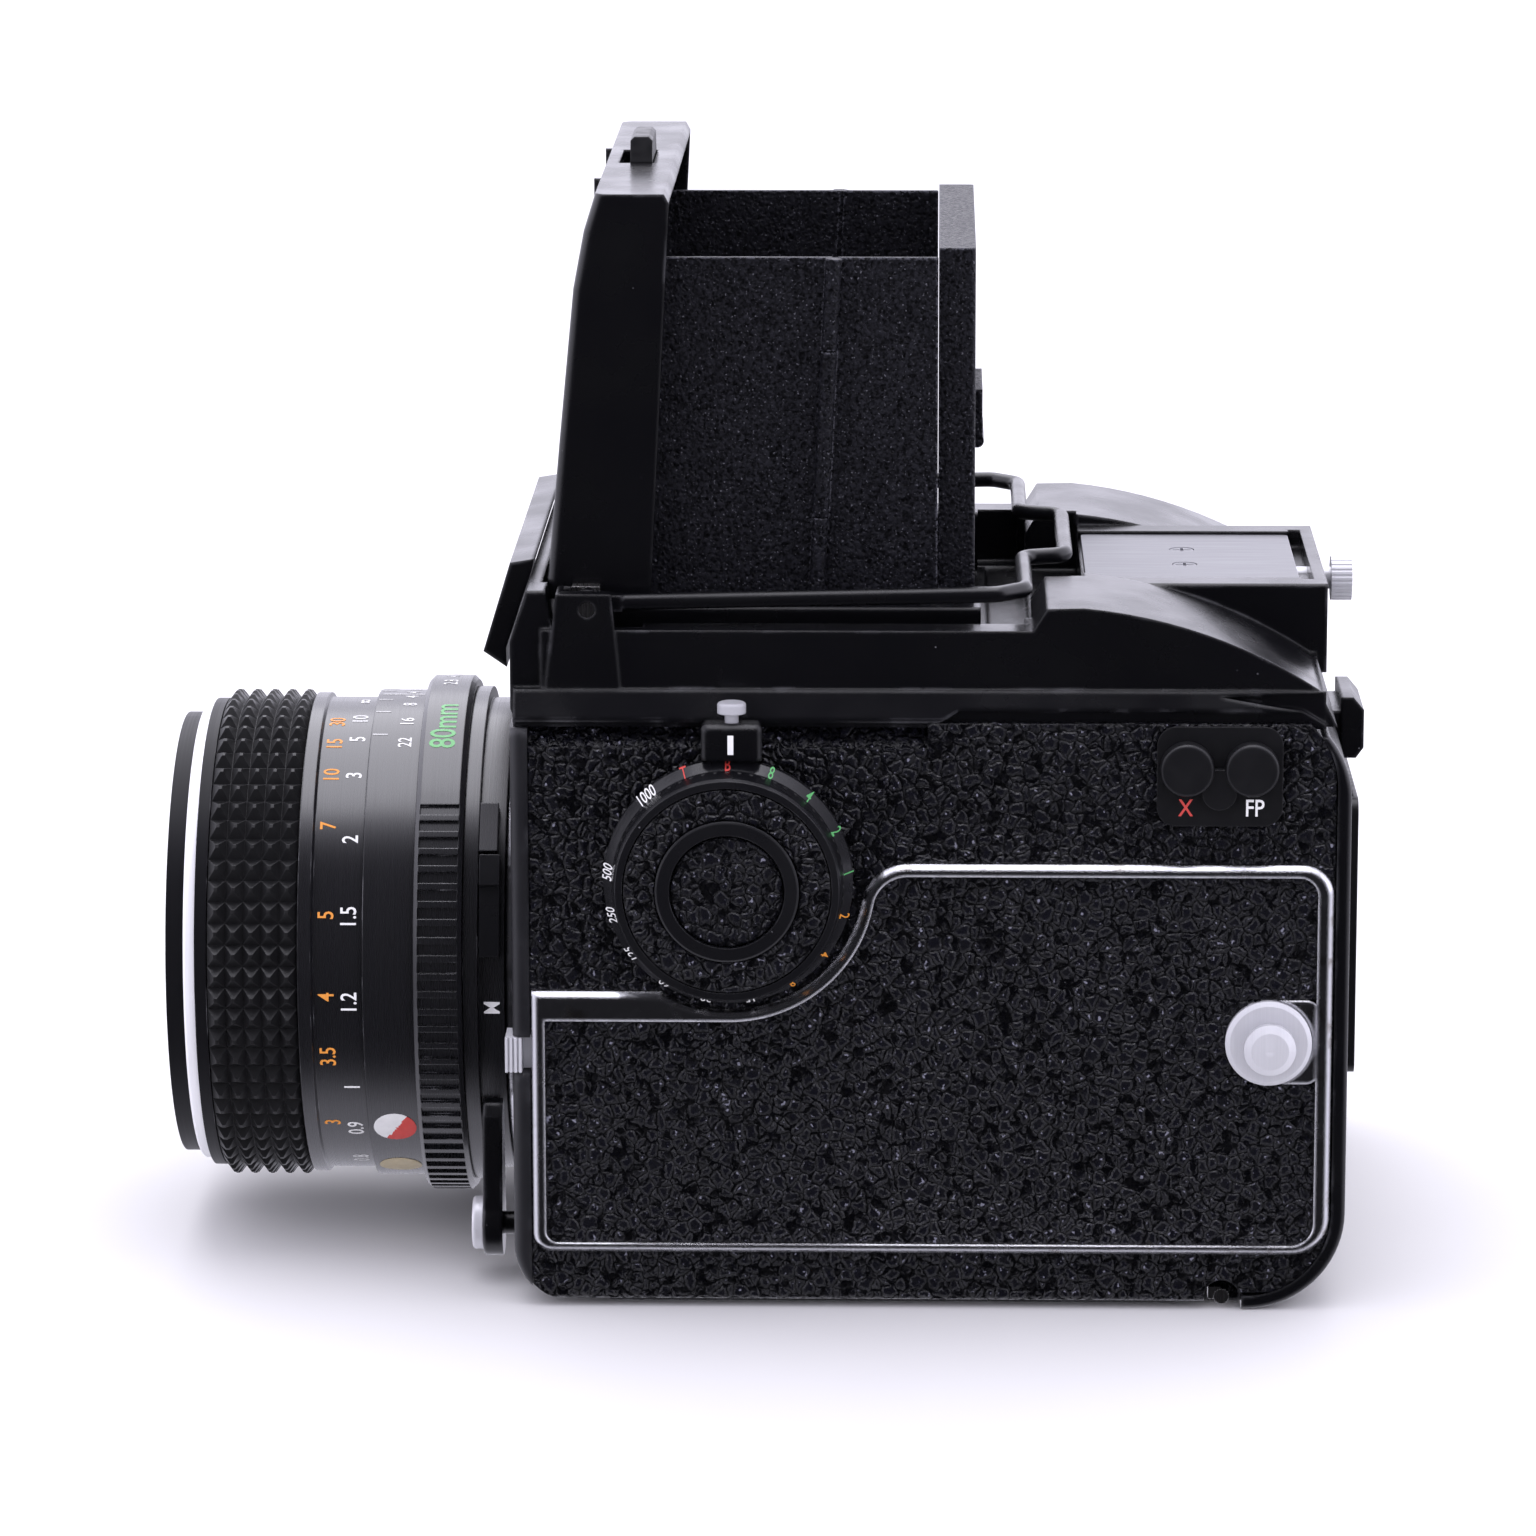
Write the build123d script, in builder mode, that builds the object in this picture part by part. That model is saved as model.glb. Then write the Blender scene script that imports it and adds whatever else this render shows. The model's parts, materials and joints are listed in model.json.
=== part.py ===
from build123d import *
import math
import os

# Medium-format single-lens reflex camera with its waist-level hood standing up.
# Millimetres. +Z is up, the lens points along -Y, and the camera's left side is +X.
# The origin is the mouth of the tripod socket, in the plane of the lens axis.

os.makedirs("parts", exist_ok=True)

# ---- driving dimensions ----
shell_half_width = 48.0
leather = 1.2
side_x = shell_half_width + leather
front_y = -45.0
front_plate_back = -42.6
rear_y = 62.9
cover_thickness = 1.9
deck_z = 77.0
side_top_z = 80.8
front_radius = 8.0
corner_radius = 13.0
gap = 0.05

# The side covering turns in at 45 degrees under the top cover, up to roll_end.
roll_bottom = 74.5
roll_end = 8.6

lens_z = 38.16
throat_radius = 27.0
aperture_ring_radius = 35.0
focus_travel = 11.85

dial_y = -16.9
dial_z = 57.5
dial_radius = 16.0

hood_lean = 2.9
lid_pivot = (-36.0, 91.5)
lid_half_width = 39.0
lid_inside = 37.6
leaf_height = (90.8, 135.5)
leaf_x = (32.6, 33.5)
leaf_fold_x = 32.1
crease_x = 34.0
plate_pivot = (12.3, 88.5)
bail_pivot = (-35.0, 92.0)
bail_x = 42.9
bail_radius = 1.05
bend_radius = 2.4
pin_radius = 1.0

cover_pivot = (47.0, 1.7)
spool_y = 40.0
take_up_z = 57.0
supply_z = 21.5
mirror_pivot = (7.6, 61.0)
mirror_length = 50.0

lens_axis = Axis((0, 0, lens_z), (0, 1, 0))


# ---- helpers ----
def block(x, y, z, mode=Mode.ADD):
    """Box between two limits on each axis, in the part being built."""
    centre = ((x[0] + x[1]) / 2, (y[0] + y[1]) / 2, (z[0] + z[1]) / 2)
    with Locations(centre):
        Box(abs(x[1] - x[0]), abs(y[1] - y[0]), abs(z[1] - z[0]), mode=mode)


def mirrored_blocks(x, y, z, mode=Mode.ADD):
    """The same box on both sides of the lens plane."""
    block(x, y, z, mode)
    block((-x[1], -x[0]), y, z, mode)


def rod_x(x, y, z, radius, mode=Mode.ADD):
    """Cylinder along X from x[0] to x[1]."""
    with Locations(Location(((x[0] + x[1]) / 2, y, z), (0, 90, 0))):
        Cylinder(radius, abs(x[1] - x[0]), mode=mode)


def rod_y(x, y, z, radius, mode=Mode.ADD):
    """Cylinder along Y from y[0] to y[1]."""
    with Locations(Location((x, (y[0] + y[1]) / 2, z), (90, 0, 0))):
        Cylinder(radius, abs(y[1] - y[0]), mode=mode)


def rod_z(x, y, z, radius, mode=Mode.ADD):
    """Cylinder along Z from z[0] to z[1]."""
    with Locations((x, y, (z[0] + z[1]) / 2)):
        Cylinder(radius, abs(z[1] - z[0]), mode=mode)


def side_face(points, x=0):
    """Straight-sided face in the side view, its corners given as (y, z)."""
    with BuildSketch(Plane.YZ.offset(x)) as face:
        with BuildLine():
            Polyline(*points, close=True)
        make_face()
    return face.sketch


def end_face(points, y=0):
    """Straight-sided face in the front view, its corners given as (x, z)."""
    with BuildSketch(Plane.XZ.offset(-y)) as face:
        with BuildLine():
            Polyline(*points, close=True)
        make_face()
    return face.sketch


def lens_section(points):
    """Half section of a turned lens part, its corners given as (y, radius)."""
    return side_face([(y, lens_z + radius) for y, radius in points])


def side_rectangle(y, z, x, radius):
    """Rounded rectangle in the side view."""
    with BuildSketch(Plane.YZ.offset(x)) as face:
        with Locations(((y[0] + y[1]) / 2, (z[0] + z[1]) / 2)):
            RectangleRounded(y[1] - y[0], z[1] - z[0], radius)
    return face.sketch


def body_outline(inset, x=0, top=side_top_z, top_radius=corner_radius):
    """Side view of the whole body, pulled in by inset."""
    low = inset
    front = front_y + inset
    rear = rear_y - inset
    with BuildSketch(Plane.YZ.offset(x)) as face:
        with BuildLine():
            Polyline((front, top), (front, low), (rear, low), (rear, top), close=True)
        make_face()
        corners = face.vertices().sort_by(Axis.Y)
        fillet(corners[0:2].sort_by(Axis.X)[0], front_radius - inset)
        corners = face.vertices().sort_by(Axis.Y)
        fillet(corners[0:2].sort_by(Axis.X)[-1], corner_radius - inset)
        if top_radius:
            corners = face.vertices().sort_by(Axis.Y)
            fillet(corners[-2:].sort_by(Axis.X)[-1], top_radius - inset)
    return face.sketch


def panel_outline(left, right, bottom, shoulder, top, curve, corner, x):
    """Trimmed side panel: its upper edge steps up around the shutter dial.

    curve is the radius of the step around the dial's centre.
    """
    reverse_y = dial_y + math.sqrt((23.4) ** 2 - (4.1) ** 2)
    reverse_z = dial_z - 4.1
    reverse_radius = 23.4 - curve
    meet_y = dial_y + (reverse_y - dial_y) * curve / 23.4
    meet_z = dial_z - 4.1 * curve / 23.4
    drop = dial_z - shoulder
    start_y = dial_y - math.sqrt(max(curve**2 - drop**2, 0))
    middle = math.radians(-55)
    arc_middle = (dial_y + curve * math.cos(middle), dial_z + curve * math.sin(middle))
    turn = math.radians(130)
    reverse_middle = (
        reverse_y + reverse_radius * math.cos(turn),
        reverse_z + reverse_radius * math.sin(turn),
    )
    with BuildSketch(Plane.YZ.offset(x)) as face:
        with BuildLine():
            Polyline((left, shoulder), (left, bottom), (right, bottom), (right, top), (reverse_y, top))
            ThreePointArc((reverse_y, top), reverse_middle, (meet_y, meet_z))
            ThreePointArc((meet_y, meet_z), arc_middle, (start_y, shoulder))
            Line((start_y, shoulder), (left, shoulder))
        make_face()
        bottoms = face.vertices().group_by(Axis.Y)[0].sort_by(Axis.X)
        fillet(bottoms[-1], corner)
        bottoms = face.vertices().group_by(Axis.Y)[0].sort_by(Axis.X)
        fillet(bottoms[0], corner / 2)
        tops = face.vertices().group_by(Axis.Y)[-1].sort_by(Axis.X)
        fillet(tops[-1], corner * 0.8)
    return face.sketch


# ---- body ----
with BuildPart() as body_casting:
    extrude(body_outline(cover_thickness), amount=shell_half_width, both=True)
    block((-60, 60), (front_plate_back, rear_y), (1.0, deck_z), mode=Mode.INTERSECT)
    for side in (-1, 1):
        low_corner = (side * shell_half_width, roll_bottom - 0.1)
        high_corner = (side * (shell_half_width - deck_z + roll_bottom - 0.1), deck_z)
        edge_cut = end_face((low_corner, (side * shell_half_width, deck_z), high_corner), roll_end)
        extrude(edge_cut, amount=roll_end - front_plate_back, mode=Mode.SUBTRACT)
    # mirror chamber, open at the top for the screen, and the lens throat
    block((-29.5, 29.5), (-35.5, 9.0), (9.0, deck_z), mode=Mode.SUBTRACT)
    block((-29.6, 29.6), (-36.0, 10.5), (66.0, 70.4), mode=Mode.SUBTRACT)
    rod_y(0, (front_plate_back, -35.0), lens_z, throat_radius, mode=Mode.SUBTRACT)
    block((-28.6, 28.6), (-43.1, -35.0), (33.0, 66.0), mode=Mode.SUBTRACT)
    # film gate and film chamber
    block((-28.0, 28.0), (8.0, 19.0), (17.4, 58.9), mode=Mode.SUBTRACT)
    block((-29.6, 29.6), (11.8, 13.6), (12.0, 64.0), mode=Mode.SUBTRACT)
    block((-40.0, 40.0), (18.0, rear_y), (4.5, 72.5), mode=Mode.SUBTRACT)
    # notch for the back cover's hinge barrels
    rod_x((-49, 49), cover_pivot[0], cover_pivot[1], 2.3, mode=Mode.SUBTRACT)
    block((-49, 49), (47.0, 49.4), (0.0, 3.4), mode=Mode.SUBTRACT)
    # wells for the release slide, the front controls and the tripod bush
    block((43.9, 48.1), (-43.0, -38.0), (31.4, 36.2), mode=Mode.SUBTRACT)
    rod_y(36.0, (-43.0, -38.0), 7.5, 1.55, mode=Mode.SUBTRACT)
    rod_y(-36.0, (-43.0, -38.0), 12.0, 2.55, mode=Mode.SUBTRACT)
    rod_z(0, 0, (0.0, 7.0), 6.05, mode=Mode.SUBTRACT)
    # pocket for the latch's tail
    block((7.0, 23.0), (58.0, 62.0), (64.0, 75.0), mode=Mode.SUBTRACT)
    # shafts of the shutter dial and of the winding crank
    rod_x((42.0, 49.0), dial_y, dial_z, 2.55, mode=Mode.SUBTRACT)
    rod_x((-49.0, -39.0), spool_y, take_up_z, 3.05, mode=Mode.SUBTRACT)
body_casting.part.label = "body_casting"
export_step(body_casting.part, "parts/body_casting.step")

with BuildPart() as front_plate:
    extrude(body_outline(0), amount=side_x + 0.1, both=True)
    block((-60, 60), (front_y, front_plate_back - gap), (0.4, deck_z - gap), mode=Mode.INTERSECT)
    corner_edges = front_plate.edges().filter_by(Axis.Z).group_by(Axis.Y)[0]
    fillet(corner_edges, 1.6)
    rod_y(0, (front_y, front_plate_back), lens_z, throat_radius, mode=Mode.SUBTRACT)
    # window for the release slide, and holes for the front controls
    block((43.9, 50.0), (front_y, front_plate_back), (31.4, 36.2), mode=Mode.SUBTRACT)
    rod_y(36.0, (front_y, front_plate_back), 7.5, 1.55, mode=Mode.SUBTRACT)
    rod_y(-36.0, (front_y, front_plate_back), 12.0, 5.05, mode=Mode.SUBTRACT)
front_plate.part.label = "front_plate"
export_step(front_plate.part, "parts/front_plate.step")

with BuildPart() as body_mount_ring:
    ring = lens_section(((-47.0, 31.5), (-45.05, 31.5), (-45.05, throat_radius), (-47.0, throat_radius)))
    revolve(ring, lens_axis)
    chamfer(body_mount_ring.edges().filter_by(GeomType.CIRCLE).group_by(Axis.Y)[0], 0.3)
body_mount_ring.part.label = "body_mount_ring"
export_step(body_mount_ring.part, "parts/body_mount_ring.step")

with BuildPart() as base_plate:
    block((-46.0, 46.0), (-35.0, 44.0), (0.0, 1.85))
    fillet(base_plate.edges().filter_by(Axis.Z), 4.0)
    rod_z(0, 0, (0.0, 2.0), 6.05, mode=Mode.SUBTRACT)
    # motor-drive coupling recess and battery cover slot
    rod_z(-30.0, 20.0, (0.0, 0.5), 5.0, mode=Mode.SUBTRACT)
    rod_z(28.0, -22.0, (0.0, 0.4), 8.0, mode=Mode.SUBTRACT)
base_plate.part.label = "base_plate"
export_step(base_plate.part, "parts/base_plate.step")

with BuildPart() as tripod_bush:
    rod_z(0, 0, (0.0, 6.9), 6.0)
    rod_z(0, 0, (0.0, 6.0), 2.55, mode=Mode.SUBTRACT)
tripod_bush.part.label = "tripod_bush"
export_step(tripod_bush.part, "parts/tripod_bush.step")

# ---- coverings of the two sides ----
left_panel = panel_outline(-42.5, 60.8, 7.5, 42.5, 59.5, 17.3, 5.0, shell_half_width + 0.02)
left_field = panel_outline(-40.7, 58.7, 8.9, 38.6, 57.9, 18.9, 3.0, shell_half_width)
right_panel = side_rectangle((-42.5, 60.8), (7.5, 42.5), -shell_half_width - 0.02, 6.0)
right_field = side_rectangle((-40.7, 58.7), (8.9, 40.6), -shell_half_width, 2.0)
trim_chamfer = 0.7


def side_sheet(x, direction):
    """Leather-covered sheet on one side, from the base up to the top cover."""
    with BuildPart() as rear_end:
        extrude(body_outline(cover_thickness, x=x), amount=direction * leather)
        block((-60, 60), (40.0, 60.9), (2.4, 77.8), mode=Mode.INTERSECT)
    with BuildPart() as sheet:
        extrude(body_outline(0.6, x=x), amount=direction * leather)
        block((-60, 60), (front_plate_back, 46.0), (1.0, 77.8), mode=Mode.INTERSECT)
        low_edges = sheet.edges().filter_by(Axis.Y).group_by(Axis.Z)[0]
        fillet(low_edges.sort_by(Axis.X)[-1 if direction > 0 else 0], 0.9)
        add(rear_end.part)
        rod_x((-60, 60), cover_pivot[0], cover_pivot[1], 2.3, mode=Mode.SUBTRACT)
    return sheet.part


def rolled_strip(side):
    """Strip of covering that turns in under the top cover."""
    rise = deck_z - gap - roll_bottom
    outer = ((side_x, roll_bottom - 1), (side_x, roll_bottom), (side_x - rise, deck_z - gap))
    inner = ((shell_half_width - rise - 0.1, deck_z - gap), (shell_half_width, roll_bottom - 0.1))
    corners = outer + inner + ((shell_half_width, roll_bottom - 1),)
    return end_face([(side * x, z) for x, z in corners], roll_end)


with BuildPart() as body_leatherette:
    add(side_sheet(shell_half_width, 1))
    add(side_sheet(-shell_half_width, -1))
    block((-60, 60), (front_plate_back, roll_end), (roll_bottom - 1, 80), mode=Mode.SUBTRACT)
    for side in (-1, 1):
        extrude(rolled_strip(side), amount=roll_end - front_plate_back)
    extrude(left_panel, amount=3, both=True, mode=Mode.SUBTRACT)
    extrude(right_panel, amount=3, both=True, mode=Mode.SUBTRACT)
    rod_x((47.0, 50.0), dial_y, dial_z, 2.55, mode=Mode.SUBTRACT)
    rod_x((-50.0, -47.0), spool_y, take_up_z, 14.1, mode=Mode.SUBTRACT)
    block((47.0, 50.0), (-44.0, -41.9), (31.0, 37.5), mode=Mode.SUBTRACT)
body_leatherette.part.label = "body_leatherette"
export_step(body_leatherette.part, "parts/body_leatherette.step")

with BuildPart() as panel_trims:
    extrude(offset(left_panel, amount=-0.06, mode=Mode.PRIVATE), amount=2.2)
    extrude(offset(right_panel, amount=-0.06, mode=Mode.PRIVATE), amount=-2.2)
    outer = panel_trims.edges().group_by(Axis.X)
    chamfer(outer[-1], trim_chamfer)
    outer = panel_trims.edges().group_by(Axis.X)
    chamfer(outer[0], trim_chamfer)
    extrude(left_field, amount=4, both=True, mode=Mode.SUBTRACT)
    extrude(right_field, amount=4, both=True, mode=Mode.SUBTRACT)
    # bridges that carry the strap lugs
    extrude(side_rectangle((50.0, 59.0), (30.6, 41.7), shell_half_width + 0.02, 1.5), amount=2.0)
    extrude(side_rectangle((50.0, 59.0), (30.6, 40.0), -shell_half_width - 0.02, 1.5), amount=-2.0)
    rod_x((-60, 60), 52.6, 36.1, 5.7, mode=Mode.SUBTRACT)
panel_trims.part.label = "panel_trims"
export_step(panel_trims.part, "parts/panel_trims.step")

with BuildPart() as panel_leatherettes:
    extrude(offset(left_field, amount=-gap, mode=Mode.PRIVATE), amount=1.75)
    extrude(offset(right_field, amount=-gap, mode=Mode.PRIVATE), amount=-1.75)
    block((48.0, 52.0), (49.9, 59.0), (30.5, 41.8), mode=Mode.SUBTRACT)
    block((-52.0, -48.0), (49.9, 59.0), (30.5, 40.1), mode=Mode.SUBTRACT)
    rod_x((-60, 60), 52.6, 36.1, 5.7, mode=Mode.SUBTRACT)
panel_leatherettes.part.label = "panel_leatherettes"
export_step(panel_leatherettes.part, "parts/panel_leatherettes.step")

with BuildPart() as strap_lugs:
    lug = ((48.05, 0), (48.05, 5.6), (50.4, 5.6), (50.9, 5.0), (50.9, 2.2), (53.0, 2.2))
    head = ((53.0, 3.35), (54.0, 3.35), (54.7, 2.4), (54.9, 0))
    with BuildSketch(Plane.XY) as lug_section:
        with BuildLine():
            Polyline(*[(x, 52.6 + r) for x, r in lug + head], close=True)
        make_face()
    revolve(axis=Axis((0, 52.6, 0), (1, 0, 0)))
    mirror(about=Plane.YZ)
strap_lugs.part.position = (0, 0, 36.1)
strap_lugs.part.label = "strap_lugs"
export_step(strap_lugs.part, "parts/strap_lugs.step")

# ---- flash sockets on the left side ----
socket_places = ((41.7, 72.3), (50.0, 72.3))

with BuildPart() as sync_plate:
    extrude(side_rectangle((37.9, 54.0), (64.6, 77.6), side_x + gap, 2.5), amount=0.5)
    for y, z in socket_places:
        rod_x((49.0, 50.0), y, z, 3.0, mode=Mode.SUBTRACT)
sync_plate.part.label = "sync_plate"
export_step(sync_plate.part, "parts/sync_plate.step")

with BuildPart() as sync_sockets:
    for y, z in socket_places:
        rod_x((side_x + gap, 51.0), y, z, 2.6)
        rod_x((side_x + 0.5, 51.0), y, z, 1.9, mode=Mode.SUBTRACT)
        rod_x((side_x + gap, 50.6), y, z, 0.4)
sync_sockets.part.label = "sync_sockets"
export_step(sync_sockets.part, "parts/sync_sockets.step")

with BuildPart() as sync_caps:
    for y, z in socket_places:
        rod_x((49.85, 52.2), y, z, 3.45)
    block((49.85, 51.2), (41.7, 50.0), (69.9, 72.3))
    rod_x((49.85, 51.2), 45.85, 69.2, 2.2)
    outer_rim = sync_caps.edges().filter_by(GeomType.CIRCLE).group_by(Axis.X)[-1]
    fillet(outer_rim, 0.6)
    for y, z in socket_places:
        rod_x((49.0, 51.1), y, z, 2.66, mode=Mode.SUBTRACT)
sync_caps.part.label = "sync_caps"
export_step(sync_caps.part, "parts/sync_caps.step")

# ---- shutter dial with its index block and lock button ----
with BuildPart() as dial_index_block:
    block((side_x + gap, 53.0), (-20.3, -12.5), (73.6, 78.3))
    fillet(dial_index_block.edges().filter_by(Axis.X).sort_by(Axis.Z)[-2:], 0.8)
    chamfer(dial_index_block.edges().filter_by(Axis.Y).sort_by(Axis.X)[-1:], 0.6)
    rod_z(50.9, -16.4, (74.6, 79.0), 0.95, mode=Mode.SUBTRACT)
dial_index_block.part.label = "dial_index_block"
export_step(dial_index_block.part, "parts/dial_index_block.step")

with BuildPart() as dial_lock_button:
    rod_z(50.9, -16.4, (79.5, 80.9), 1.85)
    fillet(dial_lock_button.edges().filter_by(GeomType.CIRCLE).sort_by(Axis.Z)[-1:], 0.4)
    rod_z(50.9, -16.4, (75.8, 79.6), 0.9)
dial_lock_button.part.label = "dial_lock_button"
export_step(dial_lock_button.part, "parts/dial_lock_button.step")

with BuildPart() as shutter_dial:
    skirt = ((50.35, 2.5), (50.35, 16.0), (51.6, 16.0), (53.2, 14.9), (56.4, 14.6), (57.0, 14.3))
    crown = ((57.0, 13.4), (56.3, 13.3), (56.3, 9.3), (57.3, 9.2), (57.5, 8.9), (57.5, 7.4), (56.6, 7.2))
    centre = ((56.6, 0), (42.5, 0), (42.5, 2.5))
    with BuildSketch(Plane.XY) as dial_section:
        with BuildLine():
            Polyline(*[(x, dial_y + r) for x, r in skirt + crown + centre], close=True)
        make_face()
    revolve(axis=Axis((0, dial_y, 0), (1, 0, 0)))
    # finger flutes round the crown
    with Locations(Location((54.9, dial_y, 0), (0, 90, 0))):
        with PolarLocations(15.2, 60):
            Cylinder(0.45, 2.4, mode=Mode.SUBTRACT)
shutter_dial.part.position = (0, 0, dial_z)
shutter_dial.part.label = "shutter_dial"
export_step(shutter_dial.part, "parts/shutter_dial.step")

with BuildPart() as dial_leatherette:
    rod_x((56.32, 57.0), dial_y, dial_z, 13.2)
    rod_x((56.0, 58.0), dial_y, dial_z, 9.35, mode=Mode.SUBTRACT)
    rod_x((56.62, 57.2), dial_y, dial_z, 7.1)
dial_leatherette.part.label = "dial_leatherette"
export_step(dial_leatherette.part, "parts/dial_leatherette.step")

# ---- controls on the front plate ----
with BuildPart() as lens_release_slide:
    slide_height = (31.5, 36.1)
    block((44.0, 48.9), (-45.9, -43.7), slide_height)
    for step in range(4):
        rib_y = -45.9 + 0.6 * step
        block((48.7, 49.4), (rib_y, rib_y + 0.35), slide_height)
    block((44.0, 46.9), (-43.9, -40.6), slide_height)
lens_release_slide.part.label = "lens_release_slide"
export_step(lens_release_slide.part, "parts/lens_release_slide.step")

with BuildPart() as self_timer_lever:
    with BuildSketch(Plane.XZ.offset(47.1)) as lever_outline:
        with BuildLine():
            Polyline((32.4, 8.5), (33.6, 23.0), (35.0, 24.2), (37.6, 24.2), (38.6, 22.6), (39.6, 8.5), close=True)
        make_face()
        with Locations((36.0, 7.5)):
            Circle(4.3)
    extrude(amount=2.6)
    fillet(self_timer_lever.faces().sort_by(Axis.Y)[0].edges(), 0.5)
    rod_y(36.0, (-47.2, -38.6), 7.5, 1.5)
self_timer_lever.part.label = "self_timer_lever"
export_step(self_timer_lever.part, "parts/self_timer_lever.step")

with BuildPart() as self_timer_button:
    rod_y(36.0, (-51.2, -49.75), 7.5, 3.5)
    fillet(self_timer_button.edges().filter_by(GeomType.CIRCLE).sort_by(Axis.Y)[0:1], 0.5)
self_timer_button.part.label = "self_timer_button"
export_step(self_timer_button.part, "parts/self_timer_button.step")

with BuildPart() as release_lock_ring:
    rod_y(-36.0, (-48.0, -45.1), 12.0, 8.0)
    rod_y(-36.0, (-48.0, -45.1), 12.0, 5.15, mode=Mode.SUBTRACT)
    fillet(release_lock_ring.edges().filter_by(GeomType.CIRCLE).sort_by(Axis.Y)[0:1], 0.6)
    block((-46.5, -43.0), (-47.6, -45.3), (11.0, 13.0))
release_lock_ring.part.label = "release_lock_ring"
export_step(release_lock_ring.part, "parts/release_lock_ring.step")

with BuildPart() as shutter_release_button:
    rod_y(-36.0, (-50.5, -44.8), 12.0, 5.0)
    fillet(shutter_release_button.edges().filter_by(GeomType.CIRCLE).sort_by(Axis.Y)[0:1], 0.8)
    rod_y(-36.0, (-45.0, -40.5), 12.0, 2.5)
    rod_y(-36.0, (-51.0, -46.5), 12.0, 1.6, mode=Mode.SUBTRACT)
shutter_release_button.part.label = "shutter_release_button"
export_step(shutter_release_button.part, "parts/shutter_release_button.step")

# ---- top cover with its rear hump ----
well_front = -37.3
well_half_width = 41.5
box_half_width = 21.6
box_top = 90.8
plate_top = 90.4
hump_profile = ((22.0, 77.0), (22.0, 89.3), (23.8, 92.2), (28.6, 92.3))

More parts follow.
